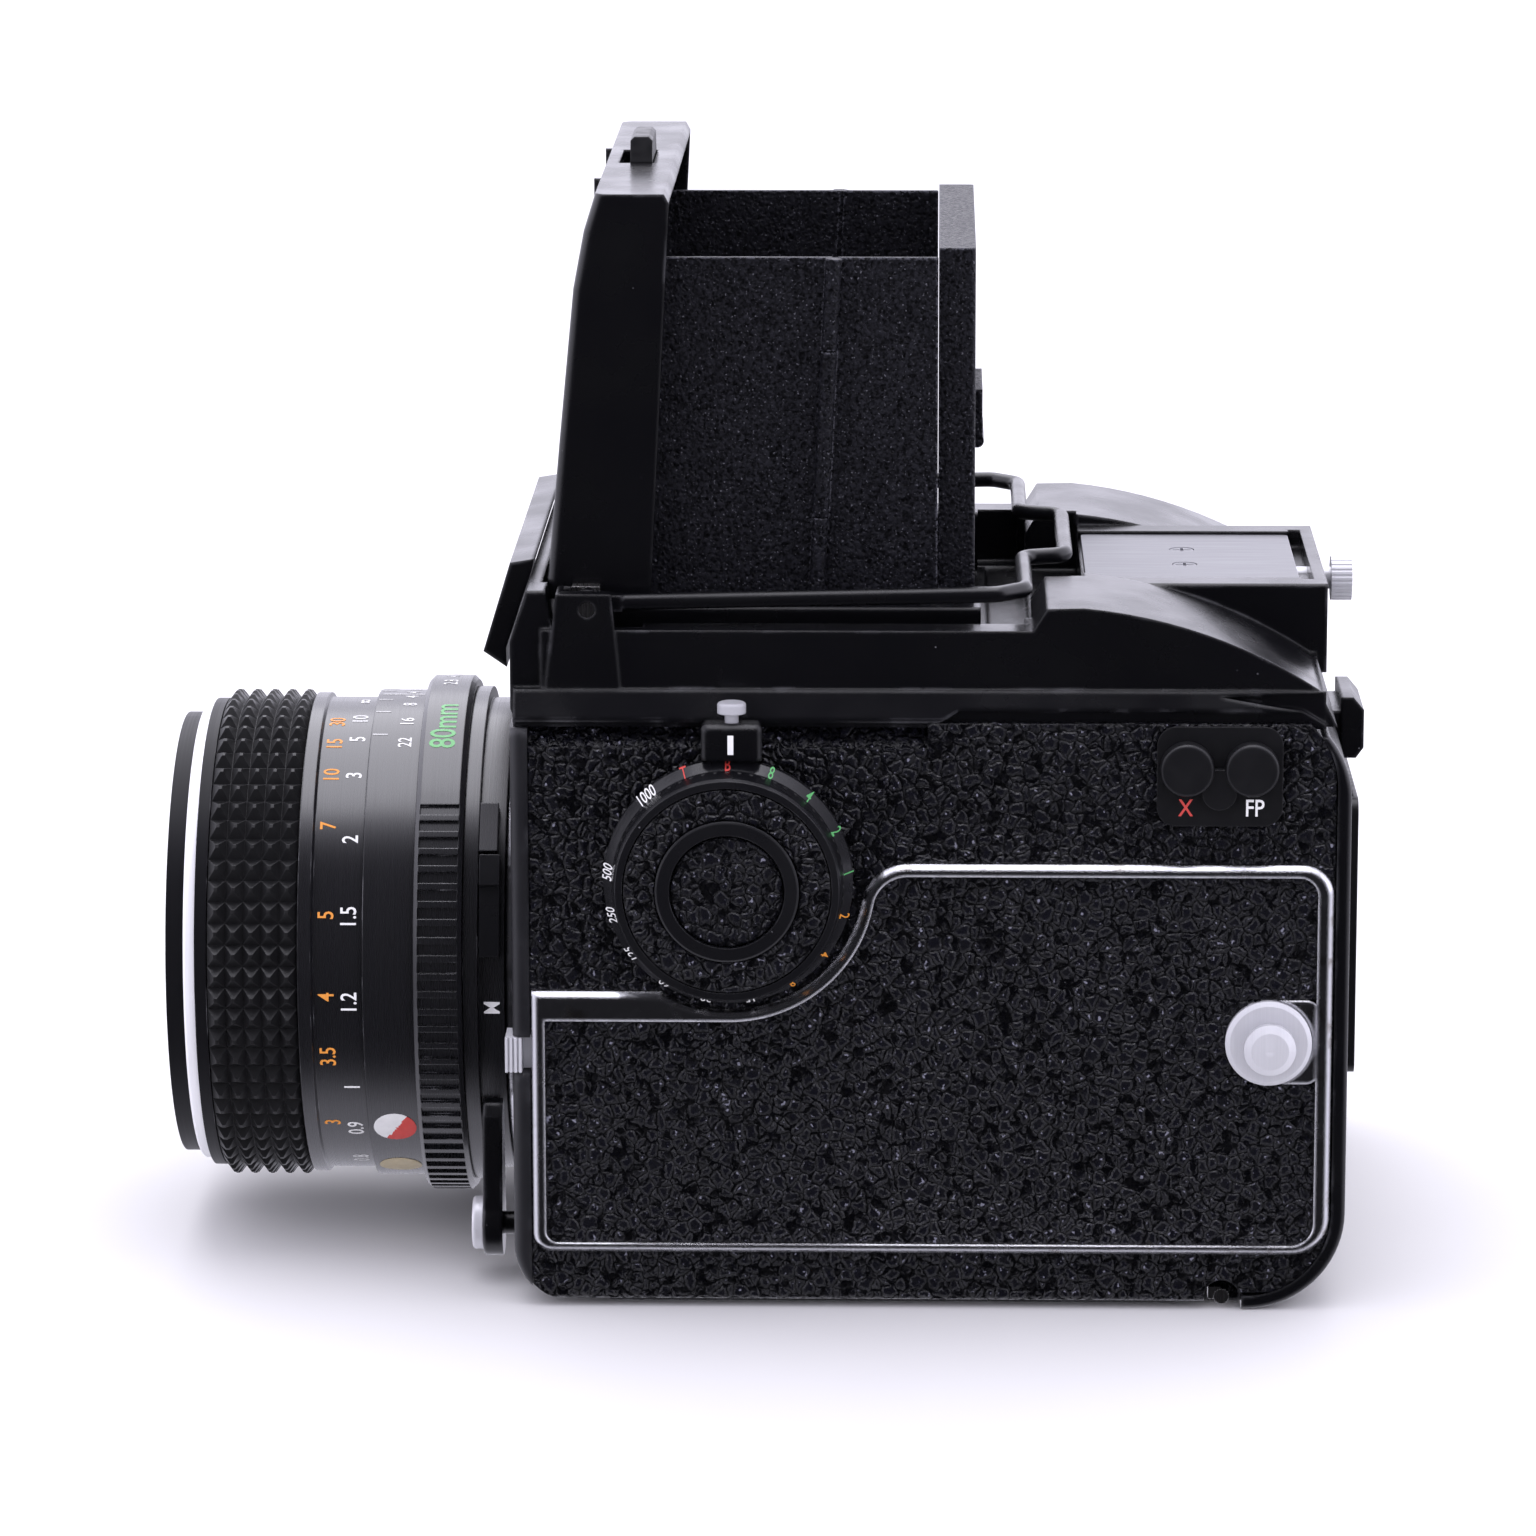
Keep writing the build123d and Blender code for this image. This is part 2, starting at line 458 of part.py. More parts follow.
with BuildPart() as top_cover:
    # deck with its bevelled side bands
    with BuildSketch(Plane.XZ.offset(44.5)) as deck_section:
        with BuildLine():
            right = ((48.0, 77.0), (48.0, 77.85), (49.15, 77.85), (49.15, 78.4), (47.2, 81.7))
            left = tuple((-x, z) for x, z in reversed(right))
            Polyline(*right, *left, close=True)
        make_face()
    extrude(amount=-104.0)
    # sloping front wall
    front_wall = ((-44.5, 77.4), (-46.2, 82.4), (-46.2, 84.0), (-42.8, 94.2), (-40.4, 94.2), (-38.4, 81.7))
    extrude(side_face(front_wall + ((-38.4, 77.4),)), amount=45.6, both=True)
    # side walls of the finder well
    mirrored_blocks((well_half_width - 4, 46.6), (-41.0, 23.0), (80.0, 89.3))
    # hump behind the well, falling away to the rear in a curve
    with BuildSketch(Plane.YZ) as hump:
        with BuildLine():
            Polyline(*hump_profile)
            ThreePointArc((28.6, 92.3), (46.1, 88.2), (58.6, 81.8))
            Line((58.6, 81.8), (61.0, 77.0))
            Line((61.0, 77.0), (22.0, 77.0))
        make_face()
    extrude(amount=46.6, both=True)
    block((-box_half_width, box_half_width), (28.9, 62.0), (82.0, 95.0), mode=Mode.SUBTRACT)
    # raised box on the hump
    with BuildSketch(Plane.XZ.offset(-29.0)) as hump_box:
        with BuildLine():
            box_side = ((box_half_width, 79.0), (box_half_width, 90.5), (box_half_width - 0.3, box_top))
            Polyline(*box_side, *[(-x, z) for x, z in reversed(box_side)], close=True)
        make_face()
    extrude(amount=-32.0)
    chamfer(top_cover.edges().filter_by(Axis.Y).group_by(Axis.Z)[-1], 0.3)
    # pivot blocks for the bail and the hood lid
    pivot_block = ((-40.5, 81.0), (-39.0, 94.0), (-31.9, 94.0), (-30.7, 81.0))
    extrude(side_face(pivot_block, x=well_half_width - 0.5), amount=6.0)
    extrude(side_face(pivot_block, x=-well_half_width + 0.5), amount=-6.0)
    # finder well: a wide upper part and the seat of the finder frame
    block((-well_half_width, well_half_width), (well_front, 21.0), (82.0, 99.0), mode=Mode.SUBTRACT)
    block((-24.0, 24.0), (20.0, 28.9), (84.0, 99.0), mode=Mode.SUBTRACT)
    block((-39.6, 39.6), (-41.15, -37.0), (87.6, 99.0), mode=Mode.SUBTRACT)
    block((-37.1, 37.1), (-37.1, 16.6), (76.0, 83.0), mode=Mode.SUBTRACT)
    # slots for the ends of the bail, and the pivot pins' holes
    mirrored_blocks((41.4, 44.4), (-38.2, -28.0), (88.6, 95.0), mode=Mode.SUBTRACT)
    rod_x((-47.0, 47.0), bail_pivot[0], bail_pivot[1], pin_radius, mode=Mode.SUBTRACT)
    # recess behind the accessory plate
    block((-18.0, 18.0), (57.7, 59.4), (88.4, 92.0), mode=Mode.SUBTRACT)
    block((-16.8, 16.8), (29.0, 58.0), (plate_top - 1.1, 92.0), mode=Mode.SUBTRACT)
    # the side bands rise over the leather behind a short diagonal step
    band_cut = ((8.6, 77.0), (12.6, 79.3), (62.0, 79.3), (62.0, 77.0))
    extrude(side_face(band_cut, x=shell_half_width), amount=2.0, mode=Mode.SUBTRACT)
    extrude(side_face(band_cut, x=-shell_half_width), amount=-2.0, mode=Mode.SUBTRACT)
    # rounded top rear corner of the body
    extrude(body_outline(0.0, top=120.0, top_radius=0), amount=60, both=True, mode=Mode.INTERSECT)
    rear_shoulder = ((46.0, 81.0), (56.5, 79.3), (59.4, 77.6), (61.4, 76.0), (70.0, 76.0), (70.0, 82.0))
    extrude(side_face(rear_shoulder, x=46.7), amount=4.0, mode=Mode.SUBTRACT)
    extrude(side_face(rear_shoulder, x=-46.7), amount=-4.0, mode=Mode.SUBTRACT)
    # accessory plate screws and the rear button
    for x in (-5.4, 5.4):
        rod_z(x, 42.8, (86.0, 92.0), 1.0, mode=Mode.SUBTRACT)
    rod_y(0, (55.0, 63.0), 87.6, 1.55, mode=Mode.SUBTRACT)
top_cover.part.label = "top_cover"
export_step(top_cover.part, "parts/top_cover.step")

with BuildPart() as accessory_plate:
    block((-16.5, 16.5), (29.4, 57.6), (plate_top - 1.05, plate_top))
    fillet(accessory_plate.edges().filter_by(Axis.Z), 0.8)
    for x in (-5.4, 5.4):
        rod_z(x, 42.8, (86.5, plate_top - 0.4), 0.99)
        rod_z(x, 42.8, (plate_top - 0.3, plate_top + 0.1), 1.7, mode=Mode.SUBTRACT)
        rod_z(x, 42.8, (plate_top - 0.5, plate_top - 0.05), 1.55)
        block((x - 1.2, x + 1.2), (42.6, 43.0), (plate_top - 0.3, plate_top), mode=Mode.SUBTRACT)
        block((x - 0.2, x + 0.2), (41.6, 44.0), (plate_top - 0.3, plate_top), mode=Mode.SUBTRACT)
accessory_plate.part.label = "accessory_plate"
export_step(accessory_plate.part, "parts/accessory_plate.step")

with BuildPart() as name_plate:
    slab = ((-46.25, 81.5), (-49.3, 83.6), (-45.7, 95.4), (-42.6, 95.9), (-42.9, 94.3), (-46.3, 84.1))
    extrude(side_face(slab), amount=32.5, both=True)
    fillet(name_plate.edges().filter_by(Axis.X, reverse=True).group_by(Axis.Y)[0], 0.6)
name_plate.part.label = "name_plate"
export_step(name_plate.part, "parts/name_plate.step")

with BuildPart() as rear_button:
    rod_y(0, (62.6, 65.4), 87.6, 3.0)
    with Locations(Location((0, 64.0, 87.6), (90, 0, 0))):
        with PolarLocations(3.1, 24):
            Cylinder(0.22, 3.6, mode=Mode.SUBTRACT)
    rod_y(0, (57.4, 62.7), 87.6, 1.5)
rear_button.part.label = "rear_button"
export_step(rear_button.part, "parts/rear_button.step")

# ---- waist-level finder ----
lean = math.tan(math.radians(hood_lean))

with BuildPart() as finder_base:
    block((-37.0, 37.0), (-37.0, 16.5), (77.1, 82.0))
    mirrored_blocks((32.3, 37.0), (-33.0, 15.4), (81.0, 90.5))
    block((-29.0, 29.0), (-35.2, 7.6), (76.0, 83.0), mode=Mode.SUBTRACT)
    fillet(finder_base.edges().filter_by(Axis.Y).group_by(Axis.Z)[-1], 0.5)
    rod_x((-36.0, 36.0), plate_pivot[0], plate_pivot[1], pin_radius + gap, mode=Mode.SUBTRACT)
finder_base.part.label = "finder_base"
export_step(finder_base.part, "parts/finder_base.step")

with BuildPart() as focusing_screen:
    block((-28.8, 28.8), (-35.4, 8.4), (68.3, 70.3))
focusing_screen.part.label = "focusing_screen"
export_step(focusing_screen.part, "parts/focusing_screen.step")

with BuildPart() as hood_lid:
    shell = ((-40.7, 91.9), (-38.8, 112.6), (-36.9, 132.1), (-35.5, 139.5), (-34.0, 144.3), (-25.2, 144.3))
    extrude(side_face(shell + ((-24.6, 143.2), (-27.2, 91.9))), amount=lid_half_width, both=True)
    front_corners = hood_lid.edges().filter_by(Axis.X, reverse=True).group_by(Axis.X)
    fillet(front_corners[-1].filter_by(lambda e: e.center().Y < -34.3), 1.6)
    front_corners = hood_lid.edges().filter_by(Axis.X, reverse=True).group_by(Axis.X)
    fillet(front_corners[0].filter_by(lambda e: e.center().Y < -34.3), 1.6)
    hollow = ((-39.4, 90.0), (-35.6, 132.0), (-34.2, 139.2), (-32.9, 142.9), (-10.0, 142.9), (-10.0, 90.0))
    extrude(side_face(hollow), amount=lid_inside, both=True, mode=Mode.SUBTRACT)
    # ears for the hinge pins
    for side in (-1, 1):
        rod_x((side * lid_inside, side * lid_half_width), lid_pivot[0], lid_pivot[1], 3.2)
    rod_x((-40.0, 40.0), lid_pivot[0], lid_pivot[1], pin_radius + gap, mode=Mode.SUBTRACT)
    # slot for the lid button, and brackets for the magnifier
    block((-7.0, 7.0), (-32.4, -27.8), (142.0, 145.0), mode=Mode.SUBTRACT)
    mirrored_blocks((15.2, 16.4), (-35.2, -30.6), (134.5, 143.4))
    rod_x((-18.0, 18.0), -32.2, 136.6, 0.85, mode=Mode.SUBTRACT)
hood_lid.part.label = "hood_lid"
export_step(hood_lid.part, "parts/hood_lid.step")

with BuildPart() as lid_button:
    with BuildSketch(Plane.XZ.offset(28.0)) as button_outline:
        with BuildLine():
            Polyline((6.9, 142.2), (6.9, 144.4), (5.6, 147.6), (-5.6, 147.6), (-6.9, 144.4), (-6.9, 142.2), close=True)
        make_face()
    extrude(amount=2.9)
    chamfer(lid_button.edges().filter_by(Axis.X).group_by(Axis.Z)[-1], 0.5)
    block((-8.4, 8.4), (-31.5, -27.6), (141.6, 142.8))
lid_button.part.label = "lid_button"
export_step(lid_button.part, "parts/lid_button.step")

# Each side leaf is two sheets joined by a three-barrel hinge.
low, high = leaf_height
crease_low = -5.9
crease_high = crease_low + (high - low) * lean
fold_front = -35.5
front_edge = (fold_front - 0.3, fold_front - 0.3 + (high - low) * lean)
crease_edge = (crease_low - 0.2, crease_high - 0.2)
barrel_steps = (low, 101.9, 123.5, high)
crease_radius = 1.05


def leaning_barrel(x, y, z_low, z_high, radius):
    """Hinge barrel that leans with the hood; y is its place at the leaves' lower edge."""
    start = (x, y + (z_low - low) * lean, z_low + gap)
    plane = Plane(origin=start, x_dir=(1, 0, 0), z_dir=(0, lean, 1))
    with BuildPart() as barrel:
        with BuildSketch(plane):
            Circle(radius)
        extrude(amount=z_high - z_low - 2 * gap)
    return barrel.part


def crease_barrel(side, z_low, z_high):
    """One barrel of the crease hinge."""
    return leaning_barrel(side * crease_x, crease_low, z_low, z_high, crease_radius)


def front_leaf(side):
    outline = ((front_edge[0], low), (front_edge[1], high), (crease_edge[1], high), (crease_edge[0], low))
    with BuildPart() as leaf:
        extrude(side_face(outline, x=side * leaf_x[0]), amount=side * (leaf_x[1] - leaf_x[0]))
        middle = crease_barrel(side, barrel_steps[1] - 3 * gap, barrel_steps[2] + 3 * gap)
        add(middle, mode=Mode.SUBTRACT)
        add(crease_barrel(side, barrel_steps[0], barrel_steps[1] - gap))
        add(crease_barrel(side, barrel_steps[2] + gap, barrel_steps[3]))
        add(leaning_barrel(side * leaf_fold_x, fold_front, low, high, 0.6))
    return leaf.part


def rear_leaf(side):
    rear_edge = 9.5
    outline = ((crease_edge[0] + 0.6, low), (crease_edge[1] + 0.6, high), (rear_edge, high), (rear_edge, low))
    with BuildPart() as leaf:
        extrude(side_face(outline, x=side * leaf_x[0]), amount=side * (leaf_x[1] - leaf_x[0]))
        add(crease_barrel(side, low - 1, barrel_steps[1]), mode=Mode.SUBTRACT)
        add(crease_barrel(side, barrel_steps[2], high + 1), mode=Mode.SUBTRACT)
        add(crease_barrel(side, barrel_steps[1], barrel_steps[2]))
    return leaf.part


for side, word in ((1, "left"), (-1, "right")):
    leaf_front = front_leaf(side)
    leaf_front.label = "hood_leaf_front_" + word
    export_step(leaf_front, "parts/hood_leaf_front_" + word + ".step")
    leaf_rear = rear_leaf(side)
    leaf_rear.label = "hood_leaf_rear_" + word
    export_step(leaf_rear, "parts/hood_leaf_rear_" + word + ".step")

with BuildPart() as hood_rear_plate:
    block((-31.9, 31.9), (13.4, 14.6), (87.0, 136.5))
    mirrored_blocks((30.9, 31.9), (9.9, 14.0), (87.0, 136.5))
    block((-31.9, 31.9), (9.9, 14.0), (135.6, 136.5))
    fillet(hood_rear_plate.edges().filter_by(Axis.Z).group_by(Axis.Y)[-1], 0.6)
    rod_x((-31.9, 31.9), plate_pivot[0], plate_pivot[1], 1.9)
    rod_x((-34.5, 34.5), plate_pivot[0], plate_pivot[1], pin_radius)
    # rolled clip on the back
    block((-9.0, 9.0), (14.4, 15.7), (107.5, 114.5))
    rod_x((-9.0, 9.0), 15.0, 107.6, 0.9)
hood_rear_plate.part.label = "hood_rear_plate"
export_step(hood_rear_plate.part, "parts/hood_rear_plate.step")

wall_slope = math.radians(5.6)
magnifier_plane = Plane(
    origin=(0, -32.2, 136.6), x_dir=(1, 0, 0), z_dir=(0, -math.cos(wall_slope), math.sin(wall_slope))
)
magnifier_drop = 18.5
lens_open = 12.0

with BuildPart() as magnifier_frame:
    with BuildSketch(magnifier_plane.offset(0.5)) as frame_outline:
        with Locations((0, -magnifier_drop)):
            RectangleRounded(30.0, 33.0, 3.0)
            Circle(lens_open, mode=Mode.SUBTRACT)
    extrude(amount=1.3)
    rod_x((-15.0, 15.0), -32.2, 136.6, 1.25)
    rod_x((-17.0, 17.0), -32.2, 136.6, 0.8)
    block((-13.0, 13.0), (-33.8, -32.2), (133.0, 136.8))
magnifier_frame.part.label = "magnifier_frame"
export_step(magnifier_frame.part, "parts/magnifier_frame.step")

with BuildPart() as magnifier_lens:
    with BuildSketch(magnifier_plane.offset(0.55)) as lens_disc:
        with Locations((0, -magnifier_drop)):
            Circle(lens_open - gap)
    extrude(amount=1.2)
magnifier_lens.part.label = "magnifier_lens"
export_step(magnifier_lens.part, "parts/magnifier_lens.step")

with BuildPart() as wire_bail:
    rest_z = 93.4
    side_front = (bail_x, -31.0, 92.3)
    side_rear = (bail_x, 17.5, rest_z)
    corner_in = (39.4, 21.0, rest_z)
    jog_near = (17.0, 21.0, rest_z)
    jog_out = (15.0, 26.6, rest_z)
    centre_line = [side_front, side_rear, corner_in, jog_near, jog_out]
    path_points = centre_line + [(-x, y, z) for x, y, z in reversed(centre_line)]
    with BuildLine() as bail_path:
        FilletPolyline(*path_points, radius=bend_radius)
    with BuildSketch(Plane(origin=side_front, z_dir=bail_path.line % 0)) as rod_section:
        Circle(bail_radius)
    sweep(rod_section.sketch, path=bail_path.line)
    # flattened eyes at the pivots
    for x in (bail_x, -bail_x):
        rod_x((x - bail_radius, x + bail_radius), bail_pivot[0], bail_pivot[1], 2.0)
        block((x - bail_radius, x + bail_radius), (bail_pivot[0], -30.6), (91.2, 93.3))
    rod_x((-50.0, 50.0), bail_pivot[0], bail_pivot[1], pin_radius + gap, mode=Mode.SUBTRACT)
wire_bail.part.label = "wire_bail"
export_step(wire_bail.part, "parts/wire_bail.step")

with BuildPart() as hood_pivot_pins:
    for side in (-1, 1):
        rod_x((side * 37.3, side * 41.35), lid_pivot[0], lid_pivot[1], pin_radius)
        rod_x((side * 41.6, side * 46.9), bail_pivot[0], bail_pivot[1], pin_radius)
    # the lid pins are carried by plates screwed inside the well
    mirrored_blocks((39.2, 41.45), (-37.2, -33.6), (89.0, 94.0))
hood_pivot_pins.part.label = "hood_pivot_pins"
export_step(hood_pivot_pins.part, "parts/hood_pivot_pins.step")

# ---- lens ----
bore = 25.9
sleeve = 28.8
tube_outer = 30.95
ring_bore = 31.02

with BuildPart() as lens_barrel:
    section = (
        (-80.0, bore),
        (-80.0, sleeve),
        (-66.0, sleeve),
        (-66.0, 30.9),
        (-65.7, 30.9),
        (-65.7, 33.0),
        (-58.95, 33.0),
        (-58.95, 31.4),
        (-52.45, 31.4),
        (-52.45, 33.5),
        (-50.5, 33.5),
        (-50.5, 32.0),
        (-47.05, 32.0),
        (-47.05, bore),
    )
    revolve(lens_section(section), lens_axis)
    # guide lugs on the rear ring, beside the aperture switch
    for angle in (38, 142, 218, 322):
        lug_x = 32.2 * math.cos(math.radians(angle))
        lug_z = lens_z + 32.2 * math.sin(math.radians(angle))
        with Locations(Location((lug_x, -49.2, lug_z), (0, -angle, 0))):
            Box(3.0, 2.4, 7.0)
lens_barrel.part.label = "lens_barrel"
export_step(lens_barrel.part, "parts/lens_barrel.step")

with BuildPart() as lens_bayonet:
    section = ((-47.0, 21.0), (-47.0, 26.8), (-42.0, 26.8), (-42.0, 25.2), (-46.0, 25.2), (-46.0, 21.0))
    revolve(lens_section(section), lens_axis)
lens_bayonet.part.label = "lens_bayonet"
export_step(lens_bayonet.part, "parts/lens_bayonet.step")

with BuildPart() as aperture_ring:
    section = (
        (-58.9, 31.45),
        (-58.9, 34.4),
        (-58.3, aperture_ring_radius),
        (-53.1, aperture_ring_radius),
        (-52.5, 34.4),
        (-52.5, 31.45),
    )
    revolve(lens_section(section), lens_axis)
    # straight finger ridges all round except for the smooth strip on top
    ridge_count = 69
    with Locations(Location((0, -55.7, lens_z), (90, 0, 0))):
        with PolarLocations(aperture_ring_radius + 0.15, ridge_count, 135.0, 270.0):
            Box(1.3, 1.5, 5.2, mode=Mode.SUBTRACT)
aperture_ring.part.label = "aperture_ring"
export_step(aperture_ring.part, "parts/aperture_ring.step")



def ring_sector(radii, angles, y):
    """Part of a flat ring round the lens axis, between two angles from +X towards +Z."""
    far = [(2 * radii[1] * math.cos(math.radians(a)), lens_z + 2 * radii[1] * math.sin(math.radians(a))) for a in angles]
    with BuildSketch(Plane.XZ.offset(-y)) as sector:
        with Locations((0, lens_z)):
            Circle(radii[1])
            Circle(radii[0], mode=Mode.SUBTRACT)
        with BuildLine():
            Polyline((0, lens_z), far[0], far[1], close=True)
        make_face(mode=Mode.INTERSECT)
    return sector.sketch


# The switch is a long tab with a raised finger pad at its upper end.
with BuildPart() as am_lever:
    extrude(ring_sector((32.06, 33.3), (8.0, 31.0), -47.6), amount=2.7)
    extrude(ring_sector((32.06, 34.3), (24.0, 31.0), -47.6), amount=2.7)
am_lever.part.label = "am_lever"
export_step(am_lever.part, "parts/am_lever.step")

with BuildPart() as focus_ring:
    section = (
        (-86.3, ring_bore),
        (-86.3, 31.5),
        (-74.3, 31.5),
        (-74.3, 32.6),
        (-72.6, 32.6),
        (-72.3, 32.0),
        (-65.8, 32.0),
        (-65.8, ring_bore),
    )
    revolve(lens_section(section), lens_axis)
focus_ring.part.label = "focus_ring"
export_step(focus_ring.part, "parts/focus_ring.step")

grip_rows = 5
grip_start = -86.3
row_pitch = 2.36
with BuildPart() as focus_grip:
    ribs = [(grip_start, 31.55), (grip_start, 32.1)]
    for row in range(grip_rows):
        row_y = grip_start + row * row_pitch
        ribs += [(row_y + 0.5, 32.9), (row_y + row_pitch - 0.5, 32.9), (row_y + row_pitch, 32.1)]
    ribs += [(grip_start + grip_rows * row_pitch, 31.55)]
    revolve(lens_section(ribs), lens_axis)
focus_grip.part.label = "focus_grip"
export_step(focus_grip.part, "parts/focus_grip.step")

with BuildPart() as front_cell:
    section = (
        (-91.8, 28.6),
        (-92.0, 28.9),
        (-92.0, 29.9),
        (-89.65, 29.9),
        (-89.65, 29.0),
        (-88.0, 29.0),
        (-88.0, 31.8),
        (-86.4, 31.8),
        (-86.4, tube_outer),
        (-67.0, tube_outer),
        (-67.0, sleeve + 0.06),
        (-84.0, sleeve + 0.06),
        (-84.0, 25.84),
        (-54.0, 25.84),
        (-54.0, 18.0),
        (-58.0, 18.0),
        (-60.0, 22.0),
        (-79.0, 22.0),
        (-79.0, 20.5),
        (-82.0, 20.5),
        (-85.0, 24.4),
        (-88.8, 28.6),
    )
    revolve(lens_section(section), lens_axis)
front_cell.part.label = "front_cell"
export_step(front_cell.part, "parts/front_cell.step")

with BuildPart() as front_trim_ring:
    revolve(lens_section(((-89.6, 29.05), (-89.6, 30.6), (-89.3, 30.9), (-88.05, 30.9), (-88.05, 29.05))), lens_axis)
front_trim_ring.part.label = "front_trim_ring"
export_step(front_trim_ring.part, "parts/front_trim_ring.step")

front_curve = 52.5
rear_curve = 66.0

with BuildPart() as front_element:
    rod_y(0, (-85.2, -79.05), lens_z, 20.4)
    with Locations((0, -85.2 + front_curve, lens_z)):
        Sphere(front_curve, mode=Mode.INTERSECT)
front_element.part.label = "front_element"
export_step(front_element.part, "parts/front_element.step")

with BuildPart() as rear_element:
    rod_y(0, (-57.95, -52.0), lens_z, 17.9)
    with Locations((0, -52.0 - rear_curve, lens_z)):
        Sphere(rear_curve, mode=Mode.INTERSECT)
rear_element.part.label = "rear_element"
export_step(rear_element.part, "parts/rear_element.step")

# ---- mirror and shutter ----
mirror_plane = Plane(
    origin=(0, mirror_pivot[0], mirror_pivot[1]), x_dir=(1, 0, 0), z_dir=(0, -math.sqrt(0.5), math.sqrt(0.5))
)

with BuildPart() as reflex_mirror:
    with BuildSketch(mirror_plane) as mirror_outline:
        with Locations((0, -mirror_length / 2)):
            RectangleRounded(56.0, mirror_length - 1.0, 2.0)
    extrude(amount=-2.0)
    rod_x((-28.0, 28.0), mirror_pivot[0] - 1.1, mirror_pivot[1] - 2.0, 1.2)
    rod_x((-29.4, 29.4), mirror_pivot[0] - 1.1, mirror_pivot[1] - 2.0, 0.8)
reflex_mirror.part.label = "reflex_mirror"
export_step(reflex_mirror.part, "parts/reflex_mirror.step")

with BuildPart() as shutter_curtain:
    block((-29.4, 29.4), (12.4, 12.8), (12.2, 63.8))
shutter_curtain.part.label = "shutter_curtain"
export_step(shutter_curtain.part, "parts/shutter_curtain.step")

# ---- film holder and spools ----
spool_pin = 2.5
insert_rear = 57.5

with BuildPart() as film_insert:
    mirrored_blocks((33.6, 36.6), (22.0, insert_rear), (6.5, 70.5))
    block((-36.0, 36.0), (insert_rear - 1.5, insert_rear), (30.0, 46.0))
    block((-36.0, 36.0), (21.0, 23.0), (14.0, 62.0))
    block((-29.5, 29.5), (19.2, 21.2), (16.0, 60.0))
    fillet(film_insert.edges().filter_by(Axis.X).group_by(Axis.Y)[-1], 0.6)
    rod_x((-38.0, 38.0), spool_y, take_up_z, spool_pin + 0.6, mode=Mode.SUBTRACT)
    # stub pins that carry the supply spool
    rod_x((30.5, 34.0), spool_y, supply_z, spool_pin)
    rod_x((-34.0, -30.5), spool_y, supply_z, spool_pin)
    # stub pin for the free end of the take-up spool
    rod_x((30.5, 36.6), spool_y, take_up_z, spool_pin)
    rod_x((35.0, 36.6), spool_y, take_up_z, 4.0)
film_insert.part.label = "film_insert"
export_step(film_insert.part, "parts/film_insert.step")


def spool(z):
    """Roll-film spool along X, with a bore at each end."""
    with BuildPart() as reel:
        rod_x((-32.8, 32.8), spool_y, z, 5.8)
        rod_x((31.8, 32.8), spool_y, z, 12.4)
        rod_x((-32.8, -31.8), spool_y, z, 12.4)
        rod_x((29.8, 33.0), spool_y, z, spool_pin + gap, mode=Mode.SUBTRACT)
        rod_x((-33.0, -29.8), spool_y, z, spool_pin + gap, mode=Mode.SUBTRACT)
    return reel.part


take_up_spool = spool(take_up_z)
take_up_spool.label = "take_up_spool"
export_step(take_up_spool, "parts/take_up_spool.step")

supply_spool = spool(supply_z)
supply_spool.label = "supply_spool"
export_step(supply_spool, "parts/supply_spool.step")

# ---- winding crank on the right side ----
crank_fold = (-56.5, spool_y, take_up_z + 10.5)
knob_z = take_up_z - 7.0

with BuildPart() as crank_disc:
    rod_x((-55.3, -49.5), spool_y, take_up_z, 14.0)
    fillet(crank_disc.edges().filter_by(GeomType.CIRCLE).group_by(Axis.X)[0], 0.8)
    # recess for the knob and notch for the end of the folding arm
    rod_x((-55.4, -50.7), spool_y, knob_z, 4.3, mode=Mode.SUBTRACT)
    block((-55.4, -54.4), (spool_y - 3.2, spool_y + 3.2), (crank_fold[2] - 2.4, crank_fold[2] + 2.4), Mode.SUBTRACT)
    for ear in ((spool_y - 4.6, spool_y - 3.1), (spool_y + 3.1, spool_y + 4.6)):
        block((-58.0, -55.0), ear, (crank_fold[2] - 1.6, crank_fold[2] + 1.6))
    rod_y(crank_fold[0], (30.0, 50.0), crank_fold[2], 0.85, mode=Mode.SUBTRACT)
    # shaft that drives the take-up spool
    rod_x((-49.6, -37.5), spool_y, take_up_z, 3.0)
    rod_x((-50.0, -30.2), spool_y, take_up_z, spool_pin)
crank_disc.part.label = "crank_disc"
export_step(crank_disc.part, "parts/crank_disc.step")

with BuildPart() as crank_arm:
    block((-57.4, -55.6), (spool_y - 3.0, spool_y + 3.0), (knob_z - 4.0, crank_fold[2] + 1.1))
    fillet(crank_arm.edges().filter_by(Axis.X).sort_by(Axis.Z)[0:2], 2.4)
    rod_y(crank_fold[0], (spool_y - 4.6, spool_y + 4.6), crank_fold[2], 0.8)
    rod_x((-58.0, -55.0), spool_y, knob_z, 1.3, mode=Mode.SUBTRACT)
crank_arm.part.label = "crank_arm"
export_step(crank_arm.part, "parts/crank_arm.step")

with BuildPart() as crank_knob:
    rod_x((-55.5, -51.0), spool_y, knob_z, 3.1)
    fillet(crank_knob.edges().filter_by(GeomType.CIRCLE).group_by(Axis.X)[-1], 0.8)
    rod_x((-57.6, -55.4), spool_y, knob_z, 1.25)
    rod_x((-58.2, -57.5), spool_y, knob_z, 2.0)
crank_knob.part.label = "crank_knob"
export_step(crank_knob.part, "parts/crank_knob.step")

